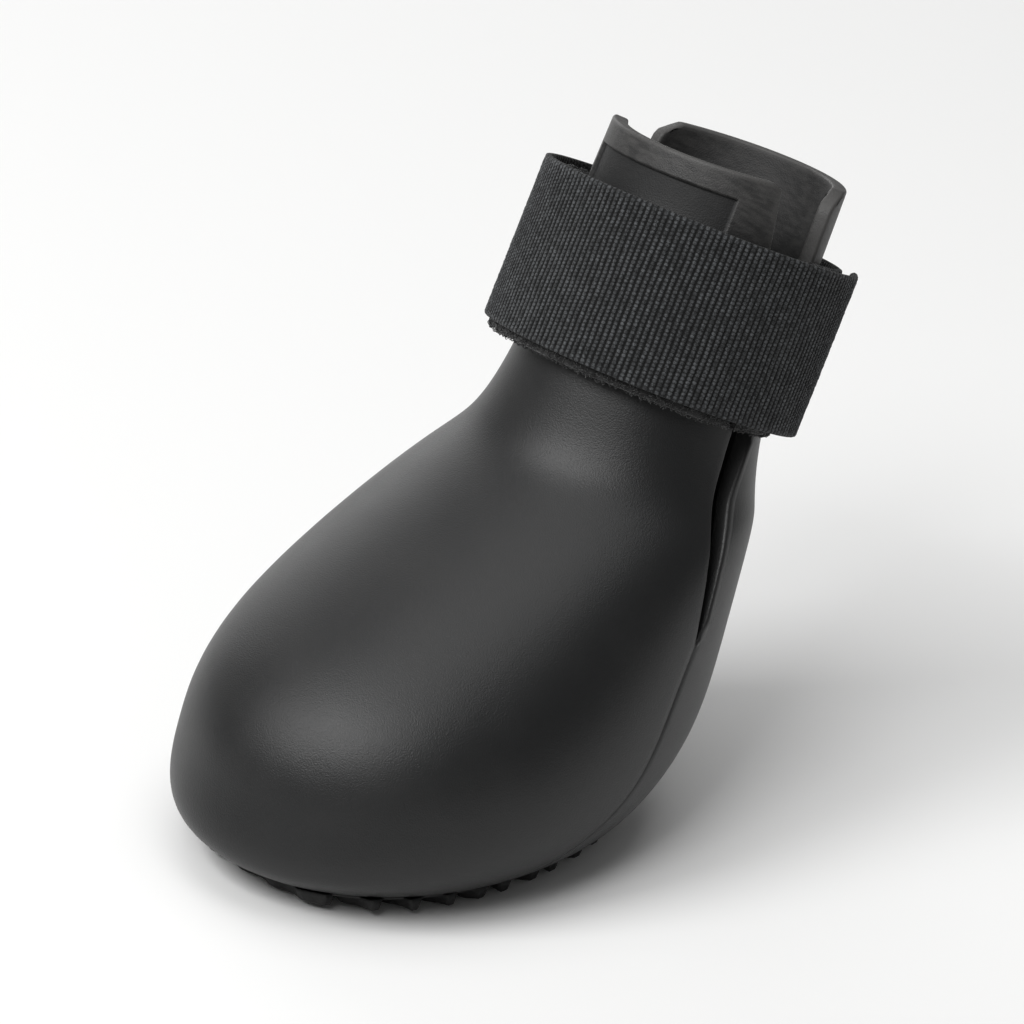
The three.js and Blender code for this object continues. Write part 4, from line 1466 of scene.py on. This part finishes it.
@dataclass
class Studio:
    """The pale floor, the soft lights and the camera at the photograph's angle."""

    azimuth: float = math.radians(42.62)
    elevation: float = math.radians(25.19)
    roll: float = math.radians(4.02)
    pivot: tuple[float, float, float] = (0.0, 30.8, 48.5)
    aim: tuple[float, float, float] = (-4.69, 21.93, 41.2)
    distance: float = 1030.0
    lens: float = 156.4
    framing: float = 1.6
    floor_half: float = 4000.0
    surroundings: float = 0.2
    lamps: tuple[tuple, ...] = (
        ("front", (-0.38, -0.78, 0.94), (0.0, 0.01, 0.04), 0.6, 8.6),
        ("brow", (0.22, -0.8, 0.98), (0.0, 0.02, 0.05), 0.5, 5.2),
        ("top", (-0.1, 0.15, 1.3), (0.0, 0.0, 0.0), 1.1, 6.6),
        ("left", (-1.0, 0.45, 0.4), (0.0, 0.03, 0.05), 0.7, 2.8),
    )

    def directions(self) -> tuple[Vector, Vector, Vector]:
        """The camera's right, up and back directions before it rolls."""
        right = Vector((math.cos(self.azimuth), math.sin(self.azimuth), 0))
        flat = math.cos(self.elevation)
        x, y = math.sin(self.azimuth) * flat, -math.cos(self.azimuth) * flat
        back = Vector((x, y, math.sin(self.elevation)))
        return right, back.cross(right), back

    def camera(self) -> None:
        """Stands the camera where the photograph was taken from and frames the one boot."""
        data = bpy.data.cameras.new("camera")
        data.lens = self.lens * self.framing
        data.clip_start = 0.05
        camera = bpy.data.objects.new("camera", data)
        bpy.context.scene.collection.objects.link(camera)
        _, _, back = self.directions()
        place = Vector(self.pivot) * MM + back * self.distance * MM
        gaze = Vector(self.aim) * MM - place
        turn = gaze.to_track_quat("-Z", "Y") @ Quaternion((0, 0, 1), self.roll)
        camera.matrix_world = Matrix.Translation(place) @ turn.to_matrix().to_4x4()
        bpy.context.scene.camera = camera

    def floor(self) -> None:
        """Lays the pale floor."""
        edge = self.floor_half
        square = [[-edge, -edge, 0], [edge, -edge, 0], [edge, edge, 0], [-edge, edge, 0]]
        piece = mesh_object("floor", np.array(square), [(0, 1, 2, 3)])
        material = bpy.data.materials.new("floor")
        material.use_nodes = True
        shader = material.node_tree.nodes["Principled BSDF"]
        shader.inputs["Base Color"].default_value = (0.86, 0.86, 0.855, 1)
        shader.inputs["Roughness"].default_value = 0.9
        piece.data.materials.append(material)

    def lights(self) -> None:
        """Hangs the soft boxes and sets the pale surroundings."""
        world = bpy.data.worlds.new("studio")
        bpy.context.scene.world = world
        world.use_nodes = True
        background = world.node_tree.nodes["Background"]
        background.inputs["Color"].default_value = (1, 1, 1, 1)
        graph = Graph(world.node_tree)
        seen = graph.wire(graph.add("ShaderNodeLightPath"), "Is Camera Ray")
        strength = seen * (1 - self.surroundings) + self.surroundings
        world.node_tree.links.new(strength.socket, background.inputs["Strength"])
        for lamp in self.lamps:
            self._soft_box(*lamp)

    def _soft_box(self, name: str, place: tuple, target: tuple, size: float, power: float) -> None:
        """Hangs one square soft box that faces a target."""
        data = bpy.data.lights.new(name, "AREA")
        data.shape = "SQUARE"
        data.size = size
        data.energy = power
        lamp = bpy.data.objects.new(name, data)
        bpy.context.scene.collection.objects.link(lamp)
        lamp.location = place
        lamp.rotation_euler = (Vector(target) - Vector(place)).to_track_quat("-Z", "Y").to_euler()

    def build(self) -> None:
        """Sets up the whole studio."""
        bpy.context.scene.view_settings.view_transform = "Standard"
        self.camera()
        self.floor()
        self.lights()


def main() -> None:
    """Builds the boot's pieces in order."""
    logging.basicConfig(level=logging.INFO, format="%(message)s")
    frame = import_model()
    log.info("the frame has %d nodes", len(frame["nodes"]))
    Studio().build()
    last = Last()
    rubber = MouldedRubber(last).material()
    tread = TreadRubber().material()
    webbing = Webbing().material()
    pile = Fluff("pile", 0.0015, 0.014).material()
    hook = Fluff("hook_tape", 0.004, 0.02).material()
    finish_piece(Upper(last).build(), Layer.UPPER, rubber, "upper")
    sole = Outsole(last)
    finish_piece(sole.plate(), Layer.TREAD, tread, "outsole")
    finish_piece(sole.ribs(tread), Layer.TREAD, tread, "outsole")
    for pad in sole.pads():
        finish_piece(pad, Layer.TREAD, tread, "outsole")
    strap = Strap(last)
    half = last.strap_width / 2
    finish_piece(strap.web(webbing), Layer.WEB, webbing, "strap_web")
    turns, thick = strap.pile_turns, strap.pile_thick
    band = strap.plain_band("strap_pile_band", turns, 0.0, half, thick, strap.drop, pile)
    finish_piece(strap.pile(band, pile), Layer.PILE, pile, "strap_loop")
    finish_piece(band, Layer.PILE, pile, "strap_loop")
    out = strap.pile_thick + strap.web_thick + 2 * last.gap
    turns, thick = strap.hook_turns, strap.hook_thick
    patch = strap.plain_band("strap_hook_tape", turns, out, half * strap.hook_share, thick, 0.0, hook)
    finish_piece(strap.hooks(patch, hook), Layer.HOOK, hook, "strap_hook")
    finish_piece(patch, Layer.HOOK, hook, "strap_hook")
    for spare in [piece for piece in bpy.data.objects if piece.name.endswith("_profile")]:
        bpy.data.objects.remove(spare)


if __name__ == "__main__":
    main()
